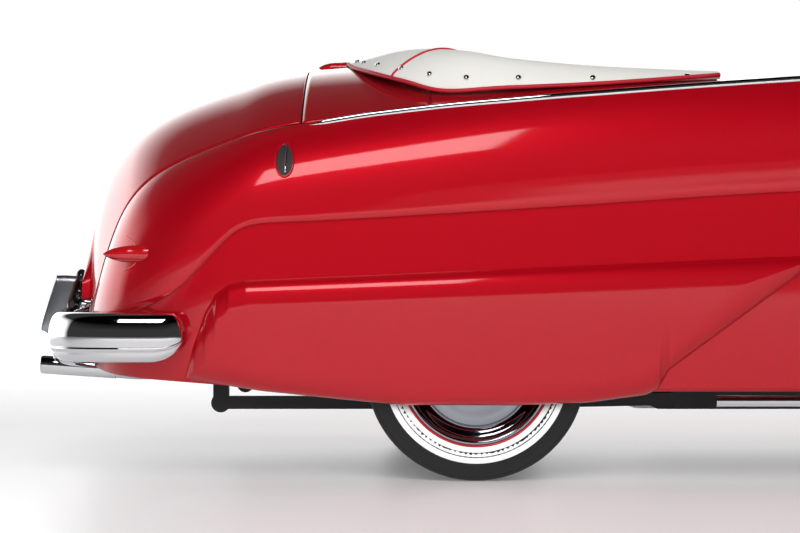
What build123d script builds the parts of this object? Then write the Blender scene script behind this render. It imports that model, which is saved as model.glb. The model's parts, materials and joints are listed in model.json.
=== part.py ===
"""A lowered 1950s two-door convertible, as separate body panels, cabin pieces and running gear.

Millimetres, +X forward, +Y to the car's left, +Z up. The origin is on the floor under the middle of the car.
"""

import math
import os
from collections import namedtuple

from build123d import *

os.makedirs("parts", exist_ok=True)


# Driving dimensions
WHEELBASE = 2997
REAR_OVERHANG = 1365
FRONT_OVERHANG = 868
LENGTH = REAR_OVERHANG + WHEELBASE + FRONT_OVERHANG
REAR_AXLE_X = REAR_OVERHANG - LENGTH / 2
FRONT_AXLE_X = REAR_AXLE_X + WHEELBASE

TYRE_RADIUS = 310
TYRE_WIDTH = 186
TYRE_CLEARANCE = 30
SKIRT_INNER_Y = 885

FRONT_TRACK = 1486
REAR_TRACK = 2 * (SKIRT_INNER_Y - TYRE_CLEARANCE) - TYRE_WIDTH

RIM_RADIUS = 208
BEAD_RADIUS = 190
RIM_WIDTH = 150
HUB_Z = TYRE_RADIUS

PANEL_WALL = 40
PANEL_GAP = 7
HALF_GAP = PANEL_GAP / 2
LID_GAP = 12
RUNNING_CLEARANCE = 0.3
SEAT_CLEARANCE = 0.5


# Body sections, tail to nose. Each is drawn on its own cross plane from arcs between four points of the half
# section: the crown on the middle line, the seam beside the hood, cockpit or deck, the crease along the side,
# and the sill.
Section = namedtuple(
    "Section", "x crown_z seam_y seam_z shoulder_bulge crease_y crease_z side_bulge sill_y sill_z")
TAIL_X = REAR_AXLE_X - 1135
DECK_FRONT_X = REAR_AXLE_X - 490
DOOR_REAR_X = REAR_AXLE_X + 977
DOOR_FRONT_X = FRONT_AXLE_X - 887
NOSE_X = FRONT_AXLE_X + 723
DOOR_MIDDLE_X = (DOOR_REAR_X + DOOR_FRONT_X) / 2

SECTIONS = [
    Section(TAIL_X, 850, 400, 500, 25, 430, 430, 4, 400, 340),
    Section(TAIL_X + 40, 938, 540, 545, 30, 620, 440, 6, 585, 312),
    Section(TAIL_X + 135, 1038, 640, 775, 60, 790, 465, 8, 740, 292),
    Section(TAIL_X + 301, 1120, 705, 905, 75, 880, 540, 10, 830, 280),
    Section(TAIL_X + 453, 1171, 760, 962, 50, 908, 690, 12, 865, 270),
    Section(DECK_FRONT_X, 1213, 800, 1005, 45, 918, 728, 12, 880, 262),
    Section(REAR_AXLE_X, 1236, 845, 1060, 40, 922, 755, 12, 890, 256),
    Section((REAR_AXLE_X + DOOR_REAR_X) / 2, 1204, 862, 1100, 36, 920, 787, 12, 890, 255),
    Section(DOOR_REAR_X, 1175, 866, 1128, 34, 917, 815, 12, 888, 255),
    Section(DOOR_MIDDLE_X, 1180, 855, 1138, 40, 918, 822, 12, 887, 255),
    Section(DOOR_FRONT_X, 1183, 790, 1122, 58, 924, 818, 12, 887, 256),
    Section((DOOR_FRONT_X + FRONT_AXLE_X) / 2, 1165, 730, 1092, 80, 928, 810, 12, 888, 258),
    Section(FRONT_AXLE_X, 1130, 672, 1050, 95, 926, 798, 12, 886, 262),
    Section(FRONT_AXLE_X + 400, 1050, 600, 982, 104, 900, 768, 12, 858, 272),
    Section(FRONT_AXLE_X + 610, 935, 530, 890, 95, 815, 700, 10, 770, 300),
    Section(NOSE_X, 770, 430, 735, 50, 640, 610, 6, 600, 345),
]


def mirrored(point):
    return (-point[0], point[1])


def bulged_middle(start, end, bulge):
    """The middle point of an arc from start to end that stands out by bulge, to the left of its run."""
    across, up = end[0] - start[0], end[1] - start[1]
    length = math.hypot(across, up)
    return ((start[0] + end[0]) / 2 - bulge * up / length, (start[1] + end[1]) / 2 + bulge * across / length)


def body_loft(inset, sill_drop):
    """The whole body's form with every section moved in by inset and its sill lowered by sill_drop."""
    with BuildPart() as form:
        for row in SECTIONS:
            crown = (0, row.crown_z - inset)
            seam = (row.seam_y - inset, row.seam_z - inset)
            crease = (row.crease_y - inset, row.crease_z)
            sill = (row.sill_y - inset, row.sill_z - sill_drop)
            shoulder = bulged_middle(seam, crease, row.shoulder_bulge)
            side = bulged_middle(crease, sill, row.side_bulge)
            end_shift = inset * ((row.x == TAIL_X) - (row.x == NOSE_X))
            with BuildSketch(Plane.YZ.offset(row.x + end_shift)):
                with BuildLine():
                    ThreePointArc(mirrored(seam), crown, seam)
                    ThreePointArc(seam, shoulder, crease)
                    ThreePointArc(crease, side, sill)
                    Line(sill, mirrored(sill))
                    ThreePointArc(mirrored(sill), mirrored(side), mirrored(crease))
                    ThreePointArc(mirrored(crease), mirrored(shoulder), mirrored(seam))
                make_face()
        loft()
    return form.part


def seam_half_width(x):
    """Half the width between the two seams at x, straight between the sections."""
    for back, front in zip(SECTIONS, SECTIONS[1:]):
        if x <= front.x:
            share = max(0, (x - back.x) / (front.x - back.x))
            return back.seam_y + share * (front.seam_y - back.seam_y)
    return SECTIONS[-1].seam_y


def seam_outline(rear_x, front_x, grow):
    """The plan outline between the seams from rear_x to front_x, moved out by grow at the sides."""
    stations = [rear_x] + [row.x for row in SECTIONS if rear_x < row.x < front_x] + [front_x]
    left = [(x, seam_half_width(x) + grow) for x in stations]
    return left + [(x, -y) for x, y in reversed(left)]


body_outside = body_loft(0, 0)
body_inside = body_loft(PANEL_WALL, 300)
with BuildPart() as body_shell:
    add(body_outside)
    add(body_inside, mode=Mode.SUBTRACT)

ABOVE = 2000


def export(part, name):
    part.label = name
    export_step(part, f"parts/{name}.step")


# Hood: hinged at its rear edge, down over the nose to the grille
HOOD_REAR_X = DOOR_FRONT_X + HALF_GAP
HOOD_FRONT_Z = 770
with BuildPart() as hood:
    add(body_shell.part)
    with BuildSketch(Plane.XY.offset(HOOD_FRONT_Z)):
        Polygon(*seam_outline(HOOD_REAR_X, NOSE_X + 50, -LID_GAP), align=None)
    extrude(amount=ABOVE, mode=Mode.INTERSECT)
export(hood.part, "hood")

# Deck lid: hinged at its front edge, down the tail to the bumper
DECK_LID_BOTTOM_Z = 560
with BuildPart() as deck_lid:
    add(body_shell.part)
    with BuildSketch(Plane.XY.offset(DECK_LID_BOTTOM_Z)):
        Polygon(*seam_outline(TAIL_X - 50, DECK_FRONT_X, -LID_GAP), align=None)
    extrude(amount=ABOVE, mode=Mode.INTERSECT)
export(deck_lid.part, "deck_lid")

# Front fenders: beside the hood from the door to the nose, with the wheel's arch cut
FENDER_FRONT_X = FRONT_AXLE_X + 560
ARCH_RADIUS = 372
with BuildPart() as front_fenders:
    add(body_shell.part)
    with BuildSketch(Plane.XY):
        Polygon((DOOR_FRONT_X + HALF_GAP, -ABOVE), (FENDER_FRONT_X, -ABOVE), (FENDER_FRONT_X, ABOVE),
                (DOOR_FRONT_X + HALF_GAP, ABOVE), align=None)
    extrude(amount=ABOVE, mode=Mode.INTERSECT)
    with BuildSketch(Plane.XY):
        Polygon(*seam_outline(HOOD_REAR_X, NOSE_X + 50, HALF_GAP), align=None)
    extrude(amount=ABOVE, mode=Mode.SUBTRACT)
    with BuildSketch(Plane.XZ.offset(-ABOVE)):
        with Locations((FRONT_AXLE_X, HUB_Z)):
            Circle(ARCH_RADIUS)
    extrude(amount=2 * ABOVE, mode=Mode.SUBTRACT)
export(front_fenders.part, "front_fenders")

# Bumper irons run from the frame rails' ends through the panels to the bumpers
IRON_Y = 420
IRON_WIDTH = 40
IRON_DEPTH = 50
FRONT_IRON_Z = 372
REAR_IRON_Z = 435

# Nose panel: round the front under the hood, with the grille's opening
GRILLE_HALF_WIDTH = 480
GRILLE_BOTTOM_Z = 500
GRILLE_TOP_Z = 690
HEADLAMP_Y = 690
HEADLAMP_Z = 735
HEADLAMP_RADIUS = 98
with BuildPart() as nose_panel:
    add(body_shell.part)
    with BuildSketch(Plane.XY):
        Polygon((FENDER_FRONT_X, -ABOVE), (NOSE_X + 50, -ABOVE), (NOSE_X + 50, ABOVE),
                (FENDER_FRONT_X, ABOVE), align=None)
    extrude(amount=ABOVE, mode=Mode.INTERSECT)
    with BuildSketch(Plane.XY.offset(HOOD_FRONT_Z - PANEL_GAP)):
        Polygon(*seam_outline(HOOD_REAR_X, NOSE_X + 50, HALF_GAP), align=None)
    extrude(amount=ABOVE, mode=Mode.SUBTRACT)
    with BuildSketch(Plane.YZ.offset(FENDER_FRONT_X - 50)):
        with Locations((0, (GRILLE_BOTTOM_Z + GRILLE_TOP_Z) / 2)):
            SlotOverall(2 * GRILLE_HALF_WIDTH, GRILLE_TOP_Z - GRILLE_BOTTOM_Z)
    extrude(amount=400, mode=Mode.SUBTRACT)
    with BuildSketch(Plane.YZ.offset(FENDER_FRONT_X)):
        with Locations((HEADLAMP_Y, HEADLAMP_Z), (-HEADLAMP_Y, HEADLAMP_Z)):
            Circle(HEADLAMP_RADIUS)
    extrude(amount=400, mode=Mode.SUBTRACT)
    with BuildSketch(Plane.YZ.offset(FENDER_FRONT_X)):
        with Locations((IRON_Y, FRONT_IRON_Z), (-IRON_Y, FRONT_IRON_Z)):
            Rectangle(IRON_WIDTH + 2 * PANEL_GAP, IRON_DEPTH + 2 * PANEL_GAP)
    extrude(amount=400, mode=Mode.SUBTRACT)
export(nose_panel.part, "nose_panel")

# Quarter panels: from the door to the tail, outside the cockpit and deck seams, with the rear wheel's opening
TAIL_PANEL_HALF_WIDTH = 560
REAR_OPENING_HALF = 345
REAR_OPENING_Z = 530
with BuildPart() as quarter_panels:
    add(body_shell.part)
    with BuildSketch(Plane.XY):
        Polygon((TAIL_X - 50, -ABOVE), (DOOR_REAR_X - HALF_GAP, -ABOVE), (DOOR_REAR_X - HALF_GAP, ABOVE),
                (TAIL_X - 50, ABOVE), align=None)
    extrude(amount=ABOVE, mode=Mode.INTERSECT)
    with BuildSketch(Plane.XY.offset(DECK_LID_BOTTOM_Z - PANEL_GAP)):
        Polygon(*seam_outline(TAIL_X - 50, DOOR_REAR_X, HALF_GAP), align=None)
    extrude(amount=ABOVE, mode=Mode.SUBTRACT)
    with BuildSketch(Plane.XY):
        Rectangle(2 * LENGTH, 2 * TAIL_PANEL_HALF_WIDTH)
    extrude(amount=DECK_LID_BOTTOM_Z, mode=Mode.SUBTRACT)
    with BuildSketch(Plane.XZ.offset(-ABOVE)):
        with Locations((REAR_AXLE_X, 0)):
            Rectangle(2 * REAR_OPENING_HALF, 2 * REAR_OPENING_Z)
    extrude(amount=2 * ABOVE, mode=Mode.SUBTRACT)
export(quarter_panels.part, "quarter_panels")

# Tail panel: across the tail under the deck lid, above the bumper's irons
TAIL_PANEL_BOTTOM_Z = REAR_IRON_Z + IRON_DEPTH / 2 + PANEL_GAP
with BuildPart() as tail_panel:
    add(body_outside)
    with BuildSketch(Plane.XY.offset(TAIL_PANEL_BOTTOM_Z)):
        with Locations((TAIL_X, 0)):
            Rectangle(2 * PANEL_WALL, 2 * TAIL_PANEL_HALF_WIDTH)
    extrude(amount=DECK_LID_BOTTOM_Z - PANEL_GAP - TAIL_PANEL_BOTTOM_Z, mode=Mode.INTERSECT)
export(tail_panel.part, "tail_panel")

# Beams under the lids' hinged edges carry the lids' seals: their tops follow the panels' underside
BEAM_BOTTOM_Z = 1060
BEAM_HALF_WIDTH = 560
BEAM_LAP = 28
body_lining = body_loft(PANEL_WALL + SEAT_CLEARANCE, 300)
with BuildPart() as deck_beam:
    add(body_lining)
    with BuildSketch(Plane.XY.offset(BEAM_BOTTOM_Z)):
        with Locations((DECK_FRONT_X + HALF_GAP, 0)):
            Rectangle(PANEL_GAP + 2 * BEAM_LAP, 2 * BEAM_HALF_WIDTH)
    extrude(amount=ABOVE, mode=Mode.INTERSECT)
export(deck_beam.part, "deck_beam")

# Rear deck panel: round the back of the cockpit, between the deck lid and the rear seat
COCKPIT_HALF_WIDTH = 735
COCKPIT_REAR_X = REAR_AXLE_X - 280
REAR_DECK_FRONT_X = DOOR_REAR_X - HALF_GAP
with BuildPart() as rear_deck_panel:
    add(body_shell.part)
    with BuildSketch(Plane.XY.offset(DECK_LID_BOTTOM_Z)):
        Polygon(*seam_outline(DECK_FRONT_X + PANEL_GAP, REAR_DECK_FRONT_X, HALF_GAP), align=None)
    extrude(amount=ABOVE, mode=Mode.INTERSECT)
    with BuildSketch(Plane.XY):
        with Locations((COCKPIT_REAR_X, 0)):
            RectangleRounded(2000, 2 * COCKPIT_HALF_WIDTH, 160, align=(Align.MIN, Align.CENTER))
    extrude(amount=ABOVE, mode=Mode.SUBTRACT)
export(rear_deck_panel.part, "rear_deck_panel")

# Doors: each as thick as the whole door, hinged at the front edge
DOOR_INNER_Y = 770
DOOR_SLANT = 14
DOOR_SLANT_Y = 890
DOOR_BOTTOM_Z = 300
with BuildPart() as door_left:
    add(body_outside)
    with BuildSketch(Plane.XY.offset(DOOR_BOTTOM_Z)):
        Polygon((DOOR_REAR_X + HALF_GAP + DOOR_SLANT, DOOR_INNER_Y), (DOOR_FRONT_X - HALF_GAP, DOOR_INNER_Y),
                (DOOR_FRONT_X - HALF_GAP, ABOVE), (DOOR_REAR_X + HALF_GAP, ABOVE),
                (DOOR_REAR_X + HALF_GAP, DOOR_SLANT_Y), align=None)
    extrude(amount=ABOVE, mode=Mode.INTERSECT)
export(door_left.part, "door_left")
with BuildPart() as door_right:
    mirror(door_left.part, about=Plane.XZ)
export(door_right.part, "door_right")

# Sills: the body's lower edge under the doors
FLOOR_HALF_WIDTH = 700
SILL_TOP_Z = DOOR_BOTTOM_Z - PANEL_GAP
with BuildPart() as sills:
    add(body_outside)
    with BuildSketch(Plane.XY):
        with Locations((DOOR_MIDDLE_X, 0)):
            Rectangle(DOOR_FRONT_X - DOOR_REAR_X + PANEL_GAP, 2 * ABOVE)
        Rectangle(2 * LENGTH, 2 * FLOOR_HALF_WIDTH, mode=Mode.SUBTRACT)
    extrude(amount=SILL_TOP_Z, mode=Mode.INTERSECT)
export(sills.part, "sills")

# Cowl: the scuttle between hood and cockpit, with the firewall under it
COWL_REAR_X = DOOR_FRONT_X - 260
COWL_HALF_WIDTH = DOOR_INNER_Y - PANEL_GAP
FIREWALL_FRONT_X = DOOR_FRONT_X - HALF_GAP
FIREWALL_WALL = 20
FLOOR_TOP_Z = 292
FLOOR_WALL = 22
TUNNEL_HALF_WIDTH = 110
TUNNEL_TOP_Z = 400
PILLAR_TOP_Z = 1060
PILLAR_LENGTH = 66
PILLAR_WIDTH = 90
COWL_SIDE_Z = 1138
pillar_y = DOOR_INNER_Y - SEAT_CLEARANCE - PILLAR_WIDTH / 2
with BuildPart() as hood_beam:
    add(body_lining)
    with BuildSketch(Plane.XY.offset(BEAM_BOTTOM_Z)):
        with Locations((FIREWALL_FRONT_X - FIREWALL_WALL, 0)):
            Rectangle(FIREWALL_WALL + PANEL_GAP + BEAM_LAP, 2 * BEAM_HALF_WIDTH,
                      align=(Align.MIN, Align.CENTER))
    extrude(amount=ABOVE, mode=Mode.INTERSECT)
with BuildPart() as cowl:
    add(body_shell.part)
    with BuildSketch(Plane.XY.offset(DOOR_BOTTOM_Z)):
        Polygon((COWL_REAR_X, -COWL_HALF_WIDTH), (FIREWALL_FRONT_X, -COWL_HALF_WIDTH),
                (FIREWALL_FRONT_X, COWL_HALF_WIDTH), (COWL_REAR_X, COWL_HALF_WIDTH), align=None)
    extrude(amount=ABOVE, mode=Mode.INTERSECT)
    with BuildSketch(Plane.XY.offset(FLOOR_TOP_Z)):
        with Locations((FIREWALL_FRONT_X - FIREWALL_WALL / 2, 0)):
            Rectangle(FIREWALL_WALL, 2 * FLOOR_HALF_WIDTH)
    extrude(amount=COWL_SIDE_Z - FLOOR_TOP_Z)
    with BuildSketch(Plane.XY.offset(FLOOR_TOP_Z)):
        with Locations((FIREWALL_FRONT_X, 0)):
            Rectangle(4 * FIREWALL_WALL, 2 * TUNNEL_HALF_WIDTH)
    extrude(amount=TUNNEL_TOP_Z - FLOOR_TOP_Z, mode=Mode.SUBTRACT)
    add(hood_beam.part)
    for side in (-1, 1):
        with BuildSketch(Plane.XY.offset(DOOR_BOTTOM_Z)):
            with Locations((FIREWALL_FRONT_X - PILLAR_LENGTH / 2, pillar_y * side)):
                Rectangle(PILLAR_LENGTH, PILLAR_WIDTH)
        extrude(amount=PILLAR_TOP_Z - DOOR_BOTTOM_Z)
export(cowl.part, "cowl")

# Floor pan: cabin floor, rear seat pan and trunk floor in one pressing, with the driveshaft's tunnel
HEEL_X = REAR_AXLE_X + 610
SEAT_PAN_Z = 430
AXLE_HUMP_X = REAR_AXLE_X + 230
TRUNK_FLOOR_Z = 505
TRUNK_REAR_X = TAIL_X + 90
TRUNK_HALF_WIDTH = 560
with BuildPart() as floor_pan:
    with BuildSketch(Plane.XZ):
        top = [(FIREWALL_FRONT_X, FLOOR_TOP_Z), (HEEL_X, FLOOR_TOP_Z), (HEEL_X - 40, SEAT_PAN_Z),
               (AXLE_HUMP_X, SEAT_PAN_Z), (AXLE_HUMP_X - 60, TRUNK_FLOOR_Z), (TRUNK_REAR_X, TRUNK_FLOOR_Z)]
        Polygon(*top, *[(x, z - FLOOR_WALL) for x, z in reversed(top)], align=None)
    extrude(amount=TRUNK_HALF_WIDTH, both=True)
    with BuildSketch(Plane.XY.offset(FLOOR_TOP_Z - FLOOR_WALL)):
        with Locations(((FIREWALL_FRONT_X + HEEL_X) / 2, 0)):
            Rectangle(FIREWALL_FRONT_X - HEEL_X, 2 * FLOOR_HALF_WIDTH)
    extrude(amount=FLOOR_WALL)
    with BuildSketch(Plane.XY.offset(FLOOR_TOP_Z)):
        with Locations(((FIREWALL_FRONT_X + HEEL_X) / 2 - 10, 0)):
            Rectangle(FIREWALL_FRONT_X - HEEL_X - 20, 2 * TUNNEL_HALF_WIDTH)
    extrude(amount=TUNNEL_TOP_Z - FLOOR_TOP_Z)
    with BuildSketch(Plane.YZ.offset(HEEL_X - 60)):
        with Locations((0, FLOOR_TOP_Z - FLOOR_WALL)):
            SlotOverall(2 * (TUNNEL_TOP_Z - FLOOR_TOP_Z), 2 * (TUNNEL_HALF_WIDTH - FLOOR_WALL), rotation=90)
    extrude(amount=LENGTH, mode=Mode.SUBTRACT)
export(floor_pan.part, "floor_pan")

# Frame rails: two side rails kicked up over both axles, and the cross members between them
RAIL_Y = 420
RAIL_WIDTH = 60
RAIL_DEPTH = 90
RAIL_TOP_Z = FLOOR_TOP_Z - FLOOR_WALL
REAR_RAIL_TOP_Z = TRUNK_FLOOR_Z - FLOOR_WALL
FRONT_RAIL_TOP_Z = 400
REAR_RAIL_X = TAIL_X + 120
FRONT_RAIL_X = FRONT_AXLE_X + 560
with BuildPart() as frame_rails:
    for side in (-1, 1):
        with BuildSketch(Plane.XZ.offset(-side * RAIL_Y)):
            top = [(REAR_RAIL_X, REAR_RAIL_TOP_Z), (AXLE_HUMP_X - 60, REAR_RAIL_TOP_Z),
                   (AXLE_HUMP_X, SEAT_PAN_Z - FLOOR_WALL), (HEEL_X - 60, RAIL_TOP_Z),
                   (FRONT_AXLE_X - 700, RAIL_TOP_Z), (FRONT_AXLE_X - 420, FRONT_RAIL_TOP_Z),
                   (FRONT_RAIL_X, FRONT_RAIL_TOP_Z)]
            Polygon(*top, *[(x, z - RAIL_DEPTH) for x, z in reversed(top)], align=None)
        extrude(amount=RAIL_WIDTH / 2, both=True)
export(frame_rails.part, "frame_rails")

CROSS_GAP = 2 * RAIL_Y - RAIL_WIDTH
RADIATOR_X = FRONT_AXLE_X + 330
CrossMember = namedtuple("CrossMember", "x top_z depth width")
CROSS_MEMBERS = [
    CrossMember(REAR_RAIL_X + 40, REAR_RAIL_TOP_Z, 70, 60),
    CrossMember(REAR_AXLE_X - 300, REAR_RAIL_TOP_Z, 60, 60),
    CrossMember(REAR_AXLE_X + 900, RAIL_TOP_Z, 40, 80),
    CrossMember(FRONT_AXLE_X - 820, RAIL_TOP_Z, 40, 120),
    CrossMember(FRONT_AXLE_X, FRONT_RAIL_TOP_Z - 40, 100, 180),
    CrossMember(RADIATOR_X, FRONT_RAIL_TOP_Z, 80, 60),
]
with BuildPart() as cross_members:
    for member in CROSS_MEMBERS:
        with BuildSketch(Plane.XY.offset(member.top_z - member.depth)):
            with Locations((member.x, 0)):
                Rectangle(member.width, CROSS_GAP)
        extrude(amount=member.depth)
export(cross_members.part, "cross_members")

# Engine and gearbox: one plain mass at its place
ENGINE_REAR_X = FRONT_AXLE_X - 640
ENGINE_FRONT_X = FRONT_AXLE_X + 130
ENGINE_BOTTOM_Z = FRONT_RAIL_TOP_Z - 40
ENGINE_HALF_WIDTH = 170
SHAFT_FRONT_Z = 345
GEARBOX_REAR_X = FIREWALL_FRONT_X + 40
with BuildPart() as engine_block:
    with BuildSketch(Plane.YZ.offset(ENGINE_REAR_X)):
        Polygon((-ENGINE_HALF_WIDTH, ENGINE_BOTTOM_Z), (ENGINE_HALF_WIDTH, ENGINE_BOTTOM_Z),
                (ENGINE_HALF_WIDTH, 560), (290, 760), (180, 900), (-180, 900), (-290, 760),
                (-ENGINE_HALF_WIDTH, 560), align=None)
    extrude(amount=ENGINE_FRONT_X - ENGINE_REAR_X)
    with BuildSketch(Plane.YZ.offset(ENGINE_REAR_X)):
        with Locations((0, 480)):
            Circle(130)
    with BuildSketch(Plane.YZ.offset(GEARBOX_REAR_X)):
        with Locations((0, SHAFT_FRONT_Z)):
            Circle(70)
    loft()
export(engine_block.part, "engine_block")

# Radiator: an upright core behind the nose
with BuildPart() as radiator:
    with Locations((RADIATOR_X, 0, FRONT_RAIL_TOP_Z)):
        Box(60, 620, 480, align=(Align.CENTER, Align.CENTER, Align.MIN))
export(radiator.part, "radiator")

# Rear axle: tube, differential and the stub shafts that carry the rear wheels
AXLE_TUBE_RADIUS = 42
STUB_RADIUS = 26
WHEEL_FACE = 45
REAR_FLANGE_Y = REAR_TRACK / 2 - WHEEL_FACE
with BuildPart() as rear_axle:
    with BuildSketch(Plane.XZ):
        with Locations((REAR_AXLE_X, HUB_Z)):
            Circle(AXLE_TUBE_RADIUS)
    extrude(amount=REAR_FLANGE_Y - 20, both=True)
    with BuildSketch(Plane.XZ):
        with Locations((REAR_AXLE_X, HUB_Z)):
            Circle(STUB_RADIUS)
    extrude(amount=REAR_TRACK / 2 + 10, both=True)
    with Locations((REAR_AXLE_X, 0, HUB_Z)):
        Sphere(135)
    with BuildSketch(Plane.YZ.offset(REAR_AXLE_X)):
        with Locations((0, HUB_Z)):
            Circle(60)
    extrude(amount=260)
export(rear_axle.part, "rear_axle")

# Wheels and tyres: a dished steel wheel with its cap, and a tyre seated on its rim


def tyre_at(x, y, name):
    half, rim_half = TYRE_WIDTH / 2, RIM_WIDTH / 2
    with BuildPart() as tyre:
        with BuildSketch(Plane.XY):
            with BuildLine():
                Polyline((BEAD_RADIUS, -rim_half), (RIM_RADIUS, -rim_half), (RIM_RADIUS + 4, -rim_half - 4))
                ThreePointArc((RIM_RADIUS + 4, -rim_half - 4), (256, -half), (TYRE_RADIUS - 14, -70))
                ThreePointArc((TYRE_RADIUS - 14, -70), (TYRE_RADIUS - 4, -63), (TYRE_RADIUS - 1.5, -52))
                ThreePointArc((TYRE_RADIUS - 1.5, -52), (TYRE_RADIUS, 0), (TYRE_RADIUS - 1.5, 52))
                ThreePointArc((TYRE_RADIUS - 1.5, 52), (TYRE_RADIUS - 4, 63), (TYRE_RADIUS - 14, 70))
                ThreePointArc((TYRE_RADIUS - 14, 70), (256, half), (RIM_RADIUS + 4, rim_half + 4))
                Polyline((RIM_RADIUS + 4, rim_half + 4), (RIM_RADIUS, rim_half), (BEAD_RADIUS, rim_half),
                         (BEAD_RADIUS, -rim_half))
            make_face()
        revolve(axis=Axis.Y)
    placed = Pos(x, y, HUB_Z) * tyre.part
    export(placed, name)


def wheel_at(x, y, outward, name):
    half = RIM_WIDTH / 2
    out = [(STUB_RADIUS + RUNNING_CLEARANCE, -WHEEL_FACE), (90, -WHEEL_FACE), (150, -20),
           (BEAD_RADIUS - 8, -half), (RIM_RADIUS, -half - 6), (RIM_RADIUS, -half), (BEAD_RADIUS, -half),
           (BEAD_RADIUS, half), (RIM_RADIUS, half), (RIM_RADIUS, half + 6),
           (BEAD_RADIUS - 6, half), (160, 45), (120, 70), (60, 88), (0, 92), (0, 60),
           (STUB_RADIUS + RUNNING_CLEARANCE, 30)]
    with BuildPart() as wheel:
        with BuildSketch(Plane.XY):
            Polygon(*[(r, a * outward) for r, a in out], align=None)
        revolve(axis=Axis.Y)
    placed = Pos(x, y, HUB_Z) * wheel.part
    export(placed, name)


CORNERS = {
    "rear_left": (REAR_AXLE_X, REAR_TRACK / 2, 1),
    "rear_right": (REAR_AXLE_X, -REAR_TRACK / 2, -1),
    "front_left": (FRONT_AXLE_X, FRONT_TRACK / 2, 1),
    "front_right": (FRONT_AXLE_X, -FRONT_TRACK / 2, -1),
}
for corner, (x, y, outward) in CORNERS.items():
    tyre_at(x, y, f"tyre_{corner}")
    wheel_at(x, y, outward, f"wheel_{corner}")

# Driveshaft: from the gearbox through the tunnel to the differential's nose
DIFF_NOSE_X = REAR_AXLE_X + 260
SHAFT_RADIUS = 32
with BuildPart() as driveshaft:
    with BuildSketch(Plane.YZ.offset(DIFF_NOSE_X)):
        with Locations((0, HUB_Z)):
            Circle(SHAFT_RADIUS)
    with BuildSketch(Plane.YZ.offset(GEARBOX_REAR_X)):
        with Locations((0, SHAFT_FRONT_Z)):
            Circle(SHAFT_RADIUS)
    loft()
export(driveshaft.part, "driveshaft")

# Rear springs: a flat leaf pack under each end of the axle on a lowering block, with hanger and shackle
SPRING_Y = 540
SPRING_WIDTH = 50
SPRING_Z = 205
SPRING_DEPTH = 36
SPRING_FRONT_X = HEEL_X
SHACKLE_X = REAR_AXLE_X - 735
with BuildPart() as rear_springs:
    for side in (-1, 1):
        with BuildSketch(Plane.XZ.offset(-side * SPRING_Y)):
            top = [(SHACKLE_X, SPRING_Z + 18), (REAR_AXLE_X, SPRING_Z + 18), (SPRING_FRONT_X, SPRING_Z + 30)]
            Polygon(*top, *[(x, z - SPRING_DEPTH) for x, z in reversed(top)], align=None)
            Polygon((SHACKLE_X - 22, SPRING_Z), (SHACKLE_X + 22, SPRING_Z), (SHACKLE_X + 22, REAR_RAIL_TOP_Z),
                    (SHACKLE_X - 22, REAR_RAIL_TOP_Z), align=None)
            with Locations((SHACKLE_X, SPRING_Z), (SPRING_FRONT_X, SPRING_Z + 12)):
                Circle(28)
            Polygon((SPRING_FRONT_X - 30, SPRING_Z + 12), (SPRING_FRONT_X + 30, SPRING_Z + 12),
                    (SPRING_FRONT_X + 30, RAIL_TOP_Z), (SPRING_FRONT_X - 30, RAIL_TOP_Z), align=None)
            Polygon((REAR_AXLE_X - 45, SPRING_Z), (REAR_AXLE_X + 45, SPRING_Z),
                    (REAR_AXLE_X + 45, HUB_Z - 20), (REAR_AXLE_X - 45, HUB_Z - 20), align=None)
        extrude(amount=SPRING_WIDTH / 2, both=True)
    with BuildSketch(Plane.XZ):
        with Locations((REAR_AXLE_X, HUB_Z)):
            Circle(AXLE_TUBE_RADIUS + RUNNING_CLEARANCE)
    extrude(amount=REAR_TRACK / 2, both=True, mode=Mode.SUBTRACT)
export(rear_springs.part, "rear_springs")

# Front suspension: an upper arm on each rail and a lower arm under the cross member, bored for the kingpins
KINGPIN_Y = 620
KINGPIN_RADIUS = 12
LOWER_ARM_Z = FRONT_RAIL_TOP_Z - 140
ARM_DEPTH = 28
with BuildPart() as front_suspension:
    for side in (-1, 1):
        with BuildSketch(Plane.XY.offset(LOWER_ARM_Z - ARM_DEPTH)):
            Polygon((FRONT_AXLE_X - 150, 280 * side), (FRONT_AXLE_X + 150, 280 * side),
                    (FRONT_AXLE_X + 30, (KINGPIN_Y + 25) * side), (FRONT_AXLE_X - 30, (KINGPIN_Y + 25) * side),
                    align=None)
            with Locations((FRONT_AXLE_X, KINGPIN_Y * side)):
                Circle(KINGPIN_RADIUS + RUNNING_CLEARANCE, mode=Mode.SUBTRACT)
        extrude(amount=ARM_DEPTH)
        with BuildSketch(Plane.XY.offset(FRONT_RAIL_TOP_Z)):
            Polygon((FRONT_AXLE_X - 90, 400 * side), (FRONT_AXLE_X + 90, 400 * side),
                    (FRONT_AXLE_X + 25, (KINGPIN_Y + 22) * side), (FRONT_AXLE_X - 25, (KINGPIN_Y + 22) * side),
                    align=None)
            with Locations((FRONT_AXLE_X, KINGPIN_Y * side)):
                Circle(KINGPIN_RADIUS + RUNNING_CLEARANCE, mode=Mode.SUBTRACT)
        extrude(amount=ARM_DEPTH)
export(front_suspension.part, "front_suspension")

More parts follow.
